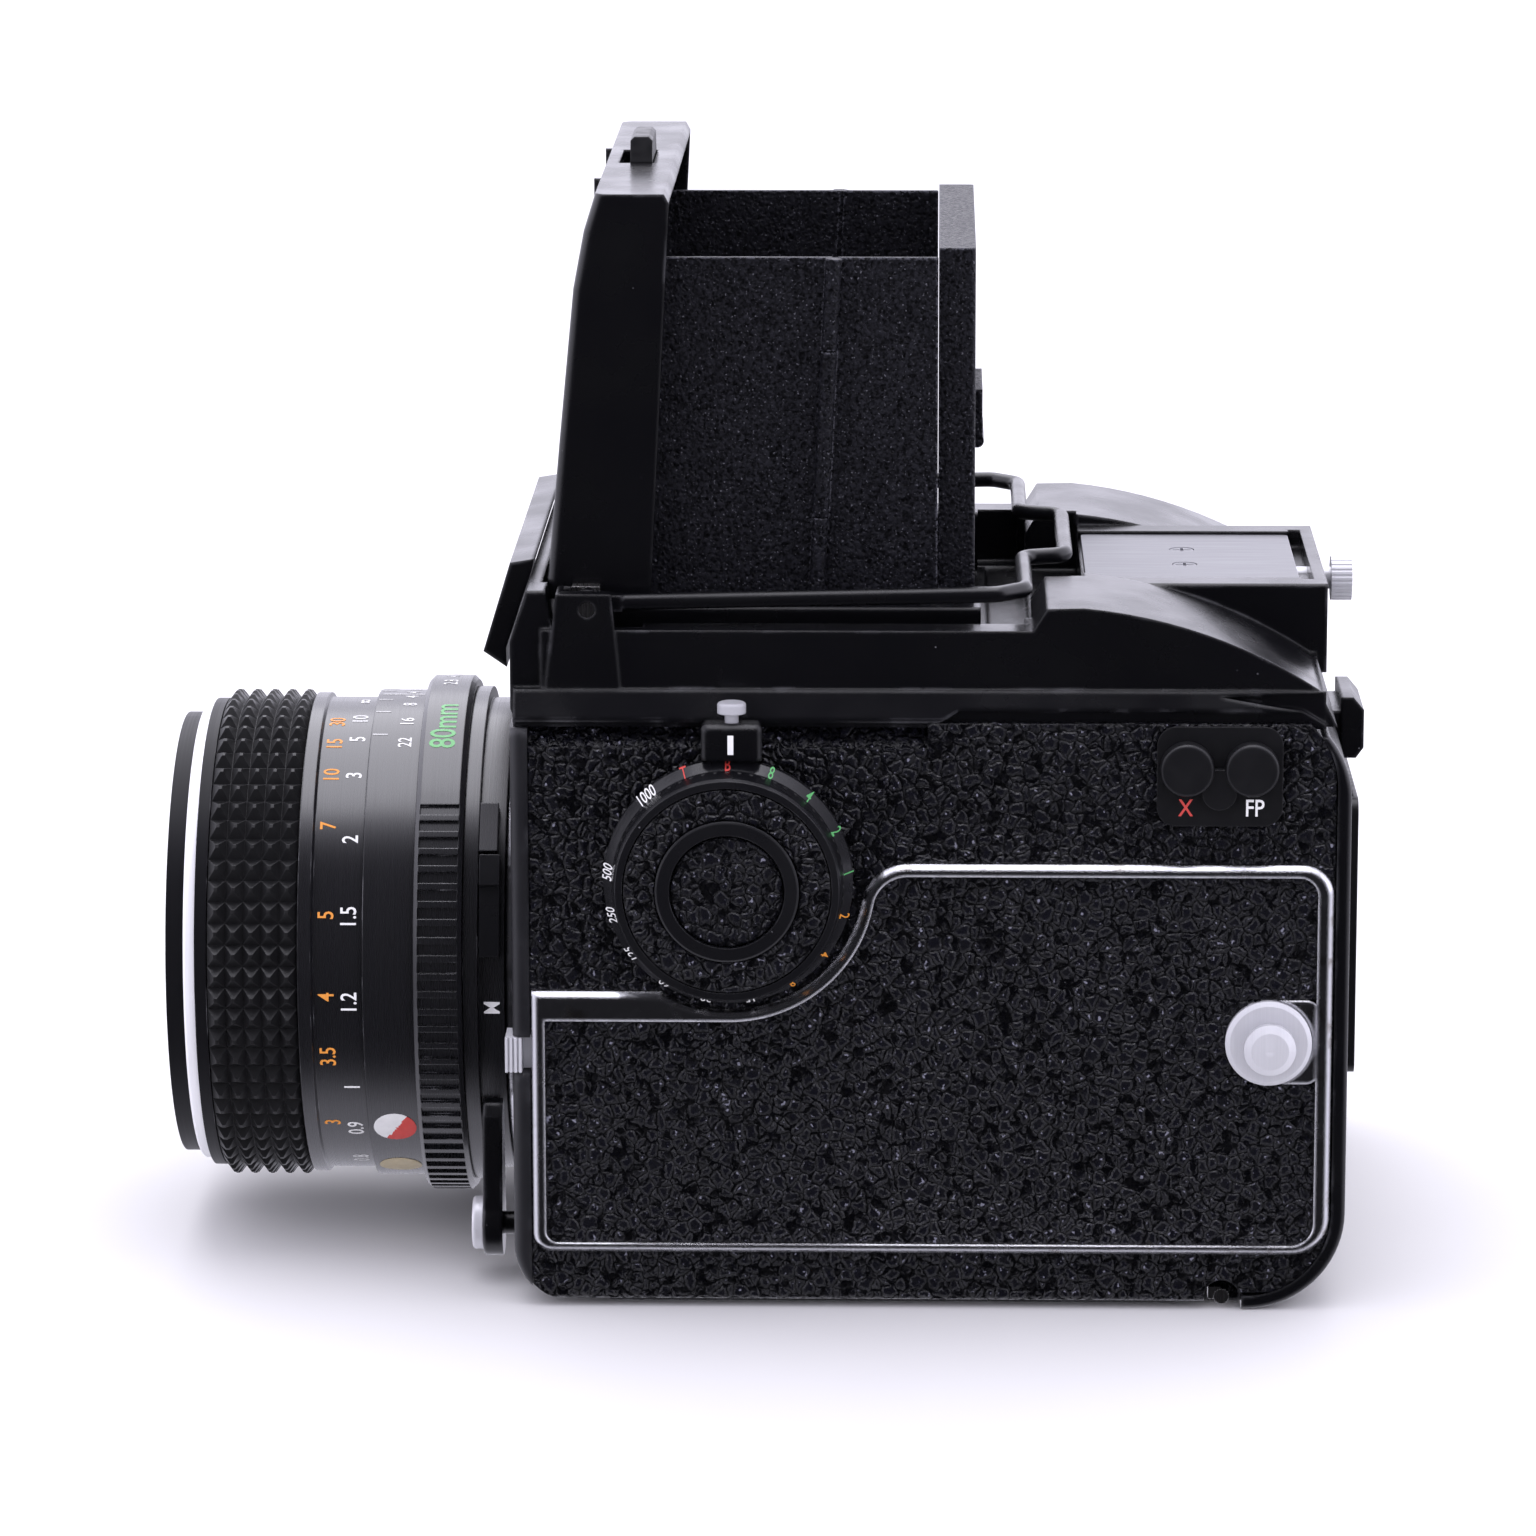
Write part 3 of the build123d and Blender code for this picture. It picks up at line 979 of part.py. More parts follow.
# ---- back cover ----
with BuildPart() as back_cover:
    extrude(body_outline(0), amount=side_x + 0.1, both=True)
    inner = body_outline(cover_thickness - gap)
    extrude(inner, amount=60, both=True, mode=Mode.SUBTRACT)
    block((-60, 60), (49.6, 70.0), (-1.0, deck_z - 0.9), mode=Mode.INTERSECT)
    rear_edges = back_cover.edges().filter_by(Axis.Z).group_by(Axis.Y)[-1]
    fillet(rear_edges, 0.9)
    # hinge barrels
    for x in ((-45.0, -15.0), (15.0, 45.0)):
        rod_x(x, cover_pivot[0], cover_pivot[1], 1.65)
        block(x, (cover_pivot[0], 50.0), (0.05, 1.5))
    rod_x((-50.0, 50.0), cover_pivot[0], cover_pivot[1], 1.05, mode=Mode.SUBTRACT)
    # slot for the latch
    block((6.0, 24.0), (60.0, 64.0), (66.0, 74.0), mode=Mode.SUBTRACT)
back_cover.part.label = "back_cover"
export_step(back_cover.part, "parts/back_cover.step")

with BuildPart() as hinge_pin:
    rod_x((-48.8, 48.8), cover_pivot[0], cover_pivot[1], 1.0)
    # carriers that hold the pin in the body
    for x in (-47.0, 0.0, 47.0):
        block((x - 1.2, x + 1.2), (45.3, 47.0), (1.2, 2.8))
hinge_pin.part.label = "hinge_pin"
export_step(hinge_pin.part, "parts/hinge_pin.step")

with BuildPart() as back_latch:
    latch_side = ((62.95, 67.6), (62.95, 75.7), (64.6, 75.7), (66.0, 74.0), (66.0, 69.0), (65.0, 67.6))
    with BuildSketch(Plane.YZ.offset(8.0)) as latch_section:
        with BuildLine():
            Polyline(*latch_side, close=True)
        make_face()
    extrude(amount=14.0)
    block((8.5, 21.5), (60.0, 63.0), (69.5, 73.8))
back_latch.part.label = "back_latch"
export_step(back_latch.part, "parts/back_latch.step")

with BuildPart() as memo_holder:
    block((-30.0, 30.0), (62.95, 65.0), (26.5, 63.6))
    fillet(memo_holder.edges().filter_by(Axis.Y), 2.0)
    block((-27.5, 27.5), (63.6, 64.4), (29.0, 67.0), mode=Mode.SUBTRACT)
    block((-25.0, 25.0), (64.0, 66.0), (31.5, 59.0), mode=Mode.SUBTRACT)
memo_holder.part.label = "memo_holder"
export_step(memo_holder.part, "parts/memo_holder.step")
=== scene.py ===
import bmesh
import bpy
import json
import math
from mathutils import Matrix, Vector


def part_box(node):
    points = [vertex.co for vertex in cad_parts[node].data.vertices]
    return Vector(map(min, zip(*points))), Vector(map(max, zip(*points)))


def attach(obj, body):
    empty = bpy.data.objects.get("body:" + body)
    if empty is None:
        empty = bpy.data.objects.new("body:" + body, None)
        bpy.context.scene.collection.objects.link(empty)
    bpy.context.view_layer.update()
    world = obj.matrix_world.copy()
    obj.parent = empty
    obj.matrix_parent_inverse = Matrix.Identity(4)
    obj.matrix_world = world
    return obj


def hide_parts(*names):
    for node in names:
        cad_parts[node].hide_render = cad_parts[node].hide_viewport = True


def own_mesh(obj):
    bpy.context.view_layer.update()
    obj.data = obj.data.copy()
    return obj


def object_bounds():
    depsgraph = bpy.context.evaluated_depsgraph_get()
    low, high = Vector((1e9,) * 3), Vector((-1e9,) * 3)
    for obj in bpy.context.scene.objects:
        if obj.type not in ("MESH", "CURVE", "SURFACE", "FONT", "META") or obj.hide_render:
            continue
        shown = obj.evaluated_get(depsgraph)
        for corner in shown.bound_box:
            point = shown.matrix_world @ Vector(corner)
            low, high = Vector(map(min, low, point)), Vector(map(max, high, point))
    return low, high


# Looks of the reflex camera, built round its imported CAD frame.
# Lengths are millimetres up to the last step of each mesh; MM turns them into metres.

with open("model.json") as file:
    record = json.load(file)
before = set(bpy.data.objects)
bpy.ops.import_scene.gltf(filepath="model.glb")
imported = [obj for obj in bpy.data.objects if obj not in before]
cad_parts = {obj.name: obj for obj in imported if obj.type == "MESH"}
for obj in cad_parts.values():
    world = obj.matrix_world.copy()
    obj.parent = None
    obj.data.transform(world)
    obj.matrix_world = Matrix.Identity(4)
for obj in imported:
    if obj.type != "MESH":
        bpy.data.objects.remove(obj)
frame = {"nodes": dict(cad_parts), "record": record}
cad_low, cad_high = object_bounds()
nodes = frame["nodes"]
MM = 0.001


def box_mm(node):
    """Lowest and highest corner of a CAD node, in millimetres."""
    low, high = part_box(node)
    return low / MM, high / MM


# ---------------------------------------------------------------- materials
class Surface:
    """A procedural material: one Principled shader fed from object-space patterns."""

    def __init__(self, name, roughness, metallic=0.0, specular=0.5):
        self.material = bpy.data.materials.new(name)
        self.material.use_nodes = True
        self.tree = self.material.node_tree
        self.shader = self.tree.nodes["Principled BSDF"]
        self.shader.inputs["Roughness"].default_value = roughness
        self.shader.inputs["Metallic"].default_value = metallic
        self.shader.inputs["Specular IOR Level"].default_value = specular
        self.place = self.tree.nodes.new("ShaderNodeTexCoord").outputs["Object"]
        self.normal = None

    def link(self, source, target):
        self.tree.links.new(source, target)

    def stretched(self, stretch):
        mapping = self.tree.nodes.new("ShaderNodeMapping")
        mapping.inputs["Scale"].default_value = stretch
        self.link(self.place, mapping.inputs["Vector"])
        return mapping.outputs["Vector"]

    def noise(self, scale, detail=4.0, stretch=None, distortion=0.0):
        texture = self.tree.nodes.new("ShaderNodeTexNoise")
        texture.inputs["Scale"].default_value = scale
        texture.inputs["Detail"].default_value = detail
        texture.inputs["Distortion"].default_value = distortion
        self.link(self.stretched(stretch) if stretch else self.place, texture.inputs["Vector"])
        return texture.outputs["Fac"]

    def cells(self, scale, feature="DISTANCE_TO_EDGE", wobble=0.0, stretch=None):
        """Cellular pattern; wobble bends its borders so that they don't look ruled."""
        source = self.stretched(stretch) if stretch else self.place
        if wobble:
            texture = self.tree.nodes.new("ShaderNodeTexNoise")
            texture.inputs["Scale"].default_value = scale * 0.9
            self.link(source, texture.inputs["Vector"])
            source = self.vector_mix(source, texture.outputs["Color"], wobble)
        cell = self.tree.nodes.new("ShaderNodeTexVoronoi")
        cell.feature = feature
        cell.inputs["Scale"].default_value = scale
        self.link(source, cell.inputs["Vector"])
        return cell.outputs["Distance"]

    def vector_mix(self, base, offset, amount):
        scaled = self.tree.nodes.new("ShaderNodeVectorMath")
        scaled.operation = "SCALE"
        self.link(offset, scaled.inputs[0])
        scaled.inputs["Scale"].default_value = amount
        added = self.tree.nodes.new("ShaderNodeVectorMath")
        added.operation = "ADD"
        self.link(base, added.inputs[0])
        self.link(scaled.outputs["Vector"], added.inputs[1])
        return added.outputs["Vector"]

    def spread(self, value, low, high, out_low=0.0, out_high=1.0):
        """Maps low..high of a pattern to out_low..out_high, clamped and smooth."""
        ranged = self.tree.nodes.new("ShaderNodeMapRange")
        ranged.interpolation_type = "SMOOTHSTEP"
        ranged.inputs["From Min"].default_value = low
        ranged.inputs["From Max"].default_value = high
        ranged.inputs["To Min"].default_value = out_low
        ranged.inputs["To Max"].default_value = out_high
        self.link(value, ranged.inputs["Value"])
        return ranged.outputs["Result"]

    def combine(self, operation, a, b):
        node = self.tree.nodes.new("ShaderNodeMath")
        node.operation = operation
        for slot, value in enumerate((a, b)):
            if isinstance(value, float):
                node.inputs[slot].default_value = value
            else:
                self.link(value, node.inputs[slot])
        return node.outputs["Value"]

    def blend_colour(self, factor, first, second):
        mix = self.tree.nodes.new("ShaderNodeMix")
        mix.data_type = "RGBA"
        self.link(factor, mix.inputs["Factor"])
        for socket, colour in ((mix.inputs[6], first), (mix.inputs[7], second)):
            if isinstance(colour, tuple):
                socket.default_value = colour + (1.0,)
            else:
                self.link(colour, socket)
        return mix.outputs[2]

    def colour(self, output):
        self.link(output, self.shader.inputs["Base Color"])

    def roughness(self, output):
        self.link(output, self.shader.inputs["Roughness"])

    def round_edges(self, radius_mm):
        """Rounds sharp edges in the shading and returns a mask of where they are."""
        bevel = self.tree.nodes.new("ShaderNodeBevel")
        bevel.samples = 6
        bevel.inputs["Radius"].default_value = radius_mm * MM
        self.normal = bevel.outputs["Normal"]
        geometry = self.tree.nodes.new("ShaderNodeNewGeometry")
        dot = self.tree.nodes.new("ShaderNodeVectorMath")
        dot.operation = "DOT_PRODUCT"
        self.link(bevel.outputs["Normal"], dot.inputs[0])
        self.link(geometry.outputs["Normal"], dot.inputs[1])
        return self.spread(dot.outputs["Value"], 0.995, 0.9)

    def bump(self, height, depth_mm, strength=1.0):
        bump = self.tree.nodes.new("ShaderNodeBump")
        bump.inputs["Strength"].default_value = strength
        bump.inputs["Distance"].default_value = depth_mm * MM
        self.link(height, bump.inputs["Height"])
        if self.normal is not None:
            self.link(self.normal, bump.inputs["Normal"])
        self.normal = bump.outputs["Normal"]

    def finish(self):
        if self.normal is not None:
            self.link(self.normal, self.shader.inputs["Normal"])
        return self.material


def painted_metal(name, dark, light, roughness, edge_radius=0.3, edge_colour=(0.05, 0.05, 0.055)):
    """Gloss or satin paint with soft edges, faint orange peel, dust specks and rubbed corners."""
    s = Surface(name, roughness)
    edges = s.round_edges(edge_radius)
    worn = s.combine("MULTIPLY", edges, s.spread(s.noise(160, 6), 0.5, 0.72))
    tone = s.blend_colour(s.noise(45, 3), dark, light)
    dust = s.spread(s.cells(330, "F1"), 0.05, 0.03)
    patches = s.spread(s.noise(60, 2), 0.5, 0.66)
    tone = s.blend_colour(s.combine("MULTIPLY", dust, patches), tone, (0.11, 0.11, 0.12))
    s.colour(s.blend_colour(worn, tone, edge_colour))
    s.roughness(s.spread(s.noise(90, 5), 0.3, 0.75, roughness * 0.8, roughness * 1.35))
    s.bump(s.noise(1900, 2), 0.012)
    return s.finish()


def leather(name):
    """Black leatherette: irregular pebbles with painted shade in the creases between them and small painted glints on
    the pebble tops.
    """
    s = Surface(name, 0.3, specular=0.42)
    s.round_edges(0.5)
    pebbles = s.spread(s.cells(640, wobble=0.0014), 0.0, 0.3)
    wrinkles = s.noise(400, 4, distortion=0.9)
    fine = s.noise(1700, 3, distortion=0.6)
    height = s.combine("ADD", pebbles, s.combine("MULTIPLY", wrinkles, 1.3))
    height = s.combine("ADD", height, s.combine("MULTIPLY", fine, 0.3))
    # Painted shade: the tone follows the relief's height, so the creases are darker than the pebble tops.
    tone = s.blend_colour(s.spread(height, 0.6, 1.9), (0.001, 0.001, 0.0018), (0.005, 0.005, 0.008))
    # Painted highlights: bright colour on the pebble tops stands in for sparkling glints.
    painted_glints = s.combine("MULTIPLY", s.spread(s.noise(1500, 2), 0.63, 0.72), s.spread(height, 1.2, 1.6))
    s.colour(s.blend_colour(painted_glints, tone, (0.16, 0.16, 0.2)))
    s.roughness(s.spread(fine, 0.35, 0.65, 0.15, 0.4))
    s.bump(height, 0.32)
    return s.finish()


def chrome(name, tint=(0.86, 0.86, 0.9)):
    """Bright plating with fine scratches, a few dull, tarnished spots and a painted highlight along its edges."""
    s = Surface(name, 0.1, metallic=1.0)
    edges = s.round_edges(0.85)
    stains = s.spread(s.noise(260, 7), 0.56, 0.7)
    tone = s.blend_colour(stains, tint, (0.5, 0.48, 0.46))
    # Painted highlight: the colour turns near-white along every edge, standing in for light caught by rounded edges.
    s.colour(s.blend_colour(edges, tone, (0.97, 0.97, 1.0)))
    s.roughness(s.spread(s.noise(520, 6), 0.35, 0.75, 0.09, 0.3))
    s.bump(s.noise(900, 4, stretch=(1.0, 0.25, 3.0)), 0.006)
    return s.finish()


def turned_black(name, roughness, grey=0.007, specular=0.5):
    """Satin black anodising on turned metal: fine rings run round the lens axis."""
    s = Surface(name, roughness, specular=specular)
    edges = s.round_edges(0.2)
    rings = s.noise(140, 3, stretch=(0.25, 60.0, 0.25))
    tone = s.blend_colour(s.noise(70, 3), (grey * 0.8, grey * 0.8, grey), (grey * 1.2, grey * 1.2, grey * 1.5))
    rubbed = s.combine("MULTIPLY", edges, s.spread(s.noise(240, 5), 0.52, 0.7))
    s.colour(s.blend_colour(rubbed, tone, (0.16, 0.16, 0.17)))
    s.roughness(s.spread(rings, 0.3, 0.7, roughness * 0.92, roughness * 1.1))
    s.bump(rings, 0.0015)
    return s.finish()


def crinkle_paint(name, roughness=0.5):
    """Black crinkle paint: tight wrinkles with painted shade in their hollows, brighter where the edges are rubbed.
    """
    s = Surface(name, roughness, specular=0.32)
    edges = s.round_edges(0.45)
    grains = s.noise(2100, 3, distortion=0.8)
    coarse = s.spread(s.cells(1500, "F1", wobble=0.0005), 0.05, 0.6)
    rubbed = s.combine("MULTIPLY", edges, s.spread(grains, 0.42, 0.6))
    # Painted shade: the tone follows the wrinkles' height, darker in their hollows.
    tone = s.blend_colour(s.spread(grains, 0.3, 0.7), (0.001, 0.001, 0.002), (0.011, 0.011, 0.017))
    specks = s.spread(s.noise(2600, 2), 0.64, 0.74)
    tone = s.blend_colour(specks, tone, (0.085, 0.085, 0.1))
    s.colour(s.blend_colour(rubbed, tone, (0.1, 0.1, 0.12)))
    s.roughness(s.spread(grains, 0.3, 0.7, roughness * 0.75, roughness * 1.2))
    s.bump(s.combine("ADD", grains, coarse), 0.12)
    return s.finish()


def rubber(name):
    """Moulded rubber with a fine matt skin and dusty hollows."""
    s = Surface(name, 0.42, specular=0.45)
    s.round_edges(0.12)
    s.colour(s.blend_colour(s.noise(300, 5), (0.006, 0.006, 0.0065), (0.014, 0.014, 0.015)))
    s.roughness(s.spread(s.noise(1200, 3), 0.3, 0.7, 0.33, 0.5))
    s.bump(s.noise(3200, 3), 0.02)
    return s.finish()


def satin_grey(name, dark, light, roughness=0.34):
    """Satin painted sheet with faint brushing along Y and a painted highlight along its edges."""
    s = Surface(name, roughness)
    edges = s.round_edges(0.2)
    brushed = s.noise(120, 4, stretch=(18.0, 0.6, 6.0))
    tone = s.blend_colour(brushed, dark, light)
    # Painted highlight: the colour turns twice as light along every edge.
    s.colour(s.blend_colour(edges, tone, tuple(min(1.0, 2 * c) for c in light)))
    s.roughness(s.spread(brushed, 0.25, 0.75, roughness * 0.85, roughness * 1.25))
    s.bump(brushed, 0.006)
    return s.finish()


def plain_plastic(name, dark, light, roughness=0.4):
    """Moulded plastic with a fine spark-eroded grain."""
    s = Surface(name, roughness)
    s.round_edges(0.3)
    s.colour(s.blend_colour(s.noise(85, 5), dark, light))
    s.roughness(s.spread(s.noise(600, 3), 0.3, 0.7, roughness * 0.85, roughness * 1.2))
    s.bump(s.noise(2400, 3), 0.012)
    return s.finish()


def bright_metal(name, colour, roughness, metallic=1.0):
    """Turned or drawn bare metal with lines along Y; less metallic where it is bead-blasted."""
    s = Surface(name, roughness, metallic)
    s.round_edges(0.15)
    lines = s.noise(150, 4, stretch=(1.0, 40.0, 1.0))
    s.colour(s.blend_colour(lines, tuple(0.85 * c for c in colour), colour))
    s.roughness(s.spread(lines, 0.3, 0.7, roughness * 0.8, roughness * 1.3))
    s.bump(lines, 0.004)
    return s.finish()


def glass(name, tint, roughness=0.0, haze=0.0):
    """Optical glass with a faint coating tint, dust and, for the screen, a ground haze."""
    s = Surface(name, roughness)
    s.shader.inputs["Transmission Weight"].default_value = 1.0 - haze
    s.shader.inputs["IOR"].default_value = 1.52
    s.colour(s.blend_colour(s.noise(25, 3), tint, tuple(min(1.0, 1.04 * c) for c in tint)))
    s.roughness(s.spread(s.noise(900, 5), 0.45, 0.8, roughness, roughness + 0.06))
    s.bump(s.noise(30, 2), 0.002)
    return s.finish()


def silvered(name):
    """Front-silvered mirror with a few dust specks."""
    s = Surface(name, 0.02, metallic=1.0)
    dust = s.spread(s.cells(240, "F1"), 0.06, 0.03)
    s.colour(s.blend_colour(dust, (0.92, 0.92, 0.94), (0.6, 0.6, 0.6)))
    s.roughness(s.spread(s.noise(200, 4), 0.5, 0.8, 0.02, 0.1))
    s.bump(s.noise(40, 2), 0.001)
    return s.finish()


def cloth(name):
    """Rubberised shutter cloth with a fine weave."""
    s = Surface(name, 0.75, specular=0.3)
    weave = s.combine("MULTIPLY", s.noise(700, 1, (9.0, 1.0, 0.6)), s.noise(700, 1, (0.6, 1.0, 9.0)))
    s.colour(s.blend_colour(weave, (0.008, 0.008, 0.008), (0.03, 0.03, 0.03)))
    s.roughness(s.spread(weave, 0.1, 0.4, 0.65, 0.85))
    s.bump(weave, 0.05)
    return s.finish()


def ink(name, colour):
    """Filled lettering: slightly uneven paint."""
    s = Surface(name, 0.45)
    s.colour(s.blend_colour(s.noise(900, 3), tuple(0.78 * c for c in colour), colour))
    s.roughness(s.spread(s.noise(1200, 2), 0.3, 0.7, 0.4, 0.55))
    s.bump(s.noise(2500, 2), 0.006)
    return s.finish()


ENAMEL = painted_metal("gloss_enamel", (0.0022, 0.0022, 0.003), (0.0045, 0.0045, 0.006), 0.24, 0.8)
FRONT_PAINT = painted_metal("front_paint", (0.009, 0.009, 0.011), (0.016, 0.016, 0.019), 0.36, 2.2)
LEATHER = leather("leatherette")
CHROME = chrome("chrome")
ANODISED = turned_black("black_anodised", 0.27, grey=0.0085, specular=1.0)
CELL_BLACK = turned_black("front_cell_black", 0.42, grey=0.006, specular=0.2)
DIAL_BLACK = painted_metal("dial_black", (0.004, 0.004, 0.005), (0.009, 0.009, 0.011), 0.27, 0.2)
RUBBER = rubber("grip_rubber")
CRINKLE = crinkle_paint("crinkle_paint")
PLATE_GREY = satin_grey("plate_grey", (0.10, 0.10, 0.11), (0.16, 0.16, 0.175))
PLASTIC = plain_plastic("black_plastic", (0.004, 0.004, 0.005), (0.01, 0.01, 0.012))
BUTTON_GREY = plain_plastic("button_grey", (0.3, 0.3, 0.32), (0.5, 0.5, 0.52), 0.35)
STEEL = bright_metal("machined_steel", (0.62, 0.61, 0.6), 0.28)
SATIN_METAL = bright_metal("satin_metal", (0.72, 0.72, 0.75), 0.38, metallic=0.35)
SILVER = bright_metal("silver_ring", (0.93, 0.93, 0.95), 0.35, metallic=0.15)
COATED_GLASS = glass("coated_glass", (0.78, 0.84, 0.92))
SCREEN = glass("ground_screen", (0.85, 0.87, 0.88), 0.35, haze=0.5)
MIRROR = silvered("mirror_silver")
CURTAIN = cloth("shutter_cloth")
WHITE = ink("white_paint", (0.85, 0.85, 0.84))
ORANGE = ink("orange_paint", (0.85, 0.32, 0.035))
GREEN = ink("green_paint", (0.1, 0.42, 0.13))
PALE_GREEN = ink("pale_green_paint", (0.2, 0.56, 0.22))
RED = ink("red_paint", (0.62, 0.05, 0.04))
CREAM = ink("cream_label", (0.6, 0.5, 0.3))

SLOT_MATERIALS = {
    "black_enamel": ENAMEL,
    "front_paint": FRONT_PAINT,
    "leather": LEATHER,
    "chrome": CHROME,
    "black_anodised": ANODISED,
    "grip_rubber": RUBBER,
    "crinkle_paint": CRINKLE,
    "plate_grey": PLATE_GREY,
    "black_plastic": PLASTIC,
    "steel": STEEL,
    "glass": COATED_GLASS,
    "screen": SCREEN,
    "mirror": MIRROR,
    "curtain": CURTAIN,
    "silver_ring": SILVER,
}
NODE_MATERIALS = {
    "front_cell": CELL_BLACK,
    "shutter_dial": DIAL_BLACK,
    "dial_lock_button": BUTTON_GREY,
    "crank_disc": DIAL_BLACK,
    "release_lock_ring": DIAL_BLACK,
    "am_lever": DIAL_BLACK,
    "lens_release_slide": SATIN_METAL,
    "strap_lugs": SATIN_METAL,
    "rear_button": SATIN_METAL,
    "self_timer_button": SATIN_METAL,
    "shutter_release_button": SATIN_METAL,
}


def dress(obj, material):
    obj.data.materials.clear()
    obj.data.materials.append(material)


def dress_cad_nodes():
    """Every CAD node takes the finish of its record slot, or its own where one is named."""
    for part in frame["record"]["subparts"]:
        name = part["node"]
        dress(nodes[name], NODE_MATERIALS.get(name, SLOT_MATERIALS[part["material_slot"]]))


# ---------------------------------------------------------------- mesh helpers
def new_piece(name, mesh, body, material):
    """Links a mesh, already in metres and in place, as a piece that rides on a CAD body."""
    obj = bpy.data.objects.new(name, mesh)
    bpy.context.scene.collection.objects.link(obj)
    dress(obj, material)
    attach(obj, body)
    return obj


def mesh_from(name, points, faces, smooth=False):
    """Mesh from points in millimetres."""
    mesh = bpy.data.meshes.new(name)
    mesh.from_pydata([Vector(p) * MM for p in points], [], faces)
    shape = bmesh.new()
    shape.from_mesh(mesh)
    bmesh.ops.recalc_face_normals(shape, faces=shape.faces)
    shape.to_mesh(mesh)
    shape.free()
    for polygon in mesh.polygons:
        polygon.use_smooth = smooth
    return mesh


# ---------------------------------------------------------------- lettering
LIFT = 0.02
THICKNESS = 0.03
LETTER_WIDTH = 0.82


def letter_points(words, height):
    """Points and faces of solid words, centred on the origin, in millimetres."""
    curve = bpy.data.curves.new("words", "FONT")
    curve.body = words
    curve.size = height / 0.7
    curve.align_x = "CENTER"
    curve.align_y = "CENTER"
    curve.extrude = THICKNESS / 2
    curve.offset = 0.012 * height
    curve.resolution_u = 3
    obj = bpy.data.objects.new("words", curve)
    bpy.context.scene.collection.objects.link(obj)
    depsgraph = bpy.context.evaluated_depsgraph_get()
    mesh = bpy.data.meshes.new_from_object(obj.evaluated_get(depsgraph))
    points = [(v.co.x * LETTER_WIDTH, v.co.y, v.co.z) for v in mesh.vertices]
    faces = [tuple(p.vertices) for p in mesh.polygons]
    bpy.data.objects.remove(obj)
    bpy.data.curves.remove(curve)
    bpy.data.meshes.remove(mesh)
    return points, faces


def bar_points(width, height):
    """Points and faces of a thin flat bar, in millimetres."""
    x, y, z = width / 2, height / 2, THICKNESS / 2
    points = [(i * x, j * y, k * z) for k in (-1, 1) for i, j in ((-1, -1), (1, -1), (1, 1), (-1, 1))]
    faces = [(0, 3, 2, 1), (4, 5, 6, 7), (0, 1, 5, 4), (1, 2, 6, 5), (2, 3, 7, 6), (3, 0, 4, 7)]
    return points, faces


def on_ring(axis, radius, angle, y):
    """Puts a flat mark on a ring round the lens axis; its top points to the front."""

    def put(point):
        turn = math.radians(angle) + point[0] / radius
        reach = radius + LIFT + point[2]
        return (reach * math.cos(turn), y - point[1], axis + reach * math.sin(turn))

    return put


def on_dial(centre, radius, angle, surface_x, slope=0.0):
    """Puts a flat mark on the dial's skirt; angle runs clockwise from the top, seen from outside."""

    def put(point):
        reach = radius + point[1]
        turn = math.radians(angle) + point[0] / radius
        x = surface_x + LIFT + point[2] - slope * point[1]
        return (x, centre[0] + reach * math.sin(turn), centre[1] + reach * math.cos(turn))

    return put


def on_side(x, y, z):
    """Puts a flat mark on a face that looks along +X."""

    def put(point):
        return (x + LIFT + point[2], y + point[0], z + point[1])

    return put


def marks(name, body, material, items):
    """One piece made of many marks; each item is (shape, placing)."""
    points, faces = [], []
    for (flat, rims), put in items:
        start = len(points)
        points += [put(p) for p in flat]
        faces += [tuple(start + i for i in rim) for rim in rims]
    return new_piece(name, mesh_from(name, points, faces), body, material)


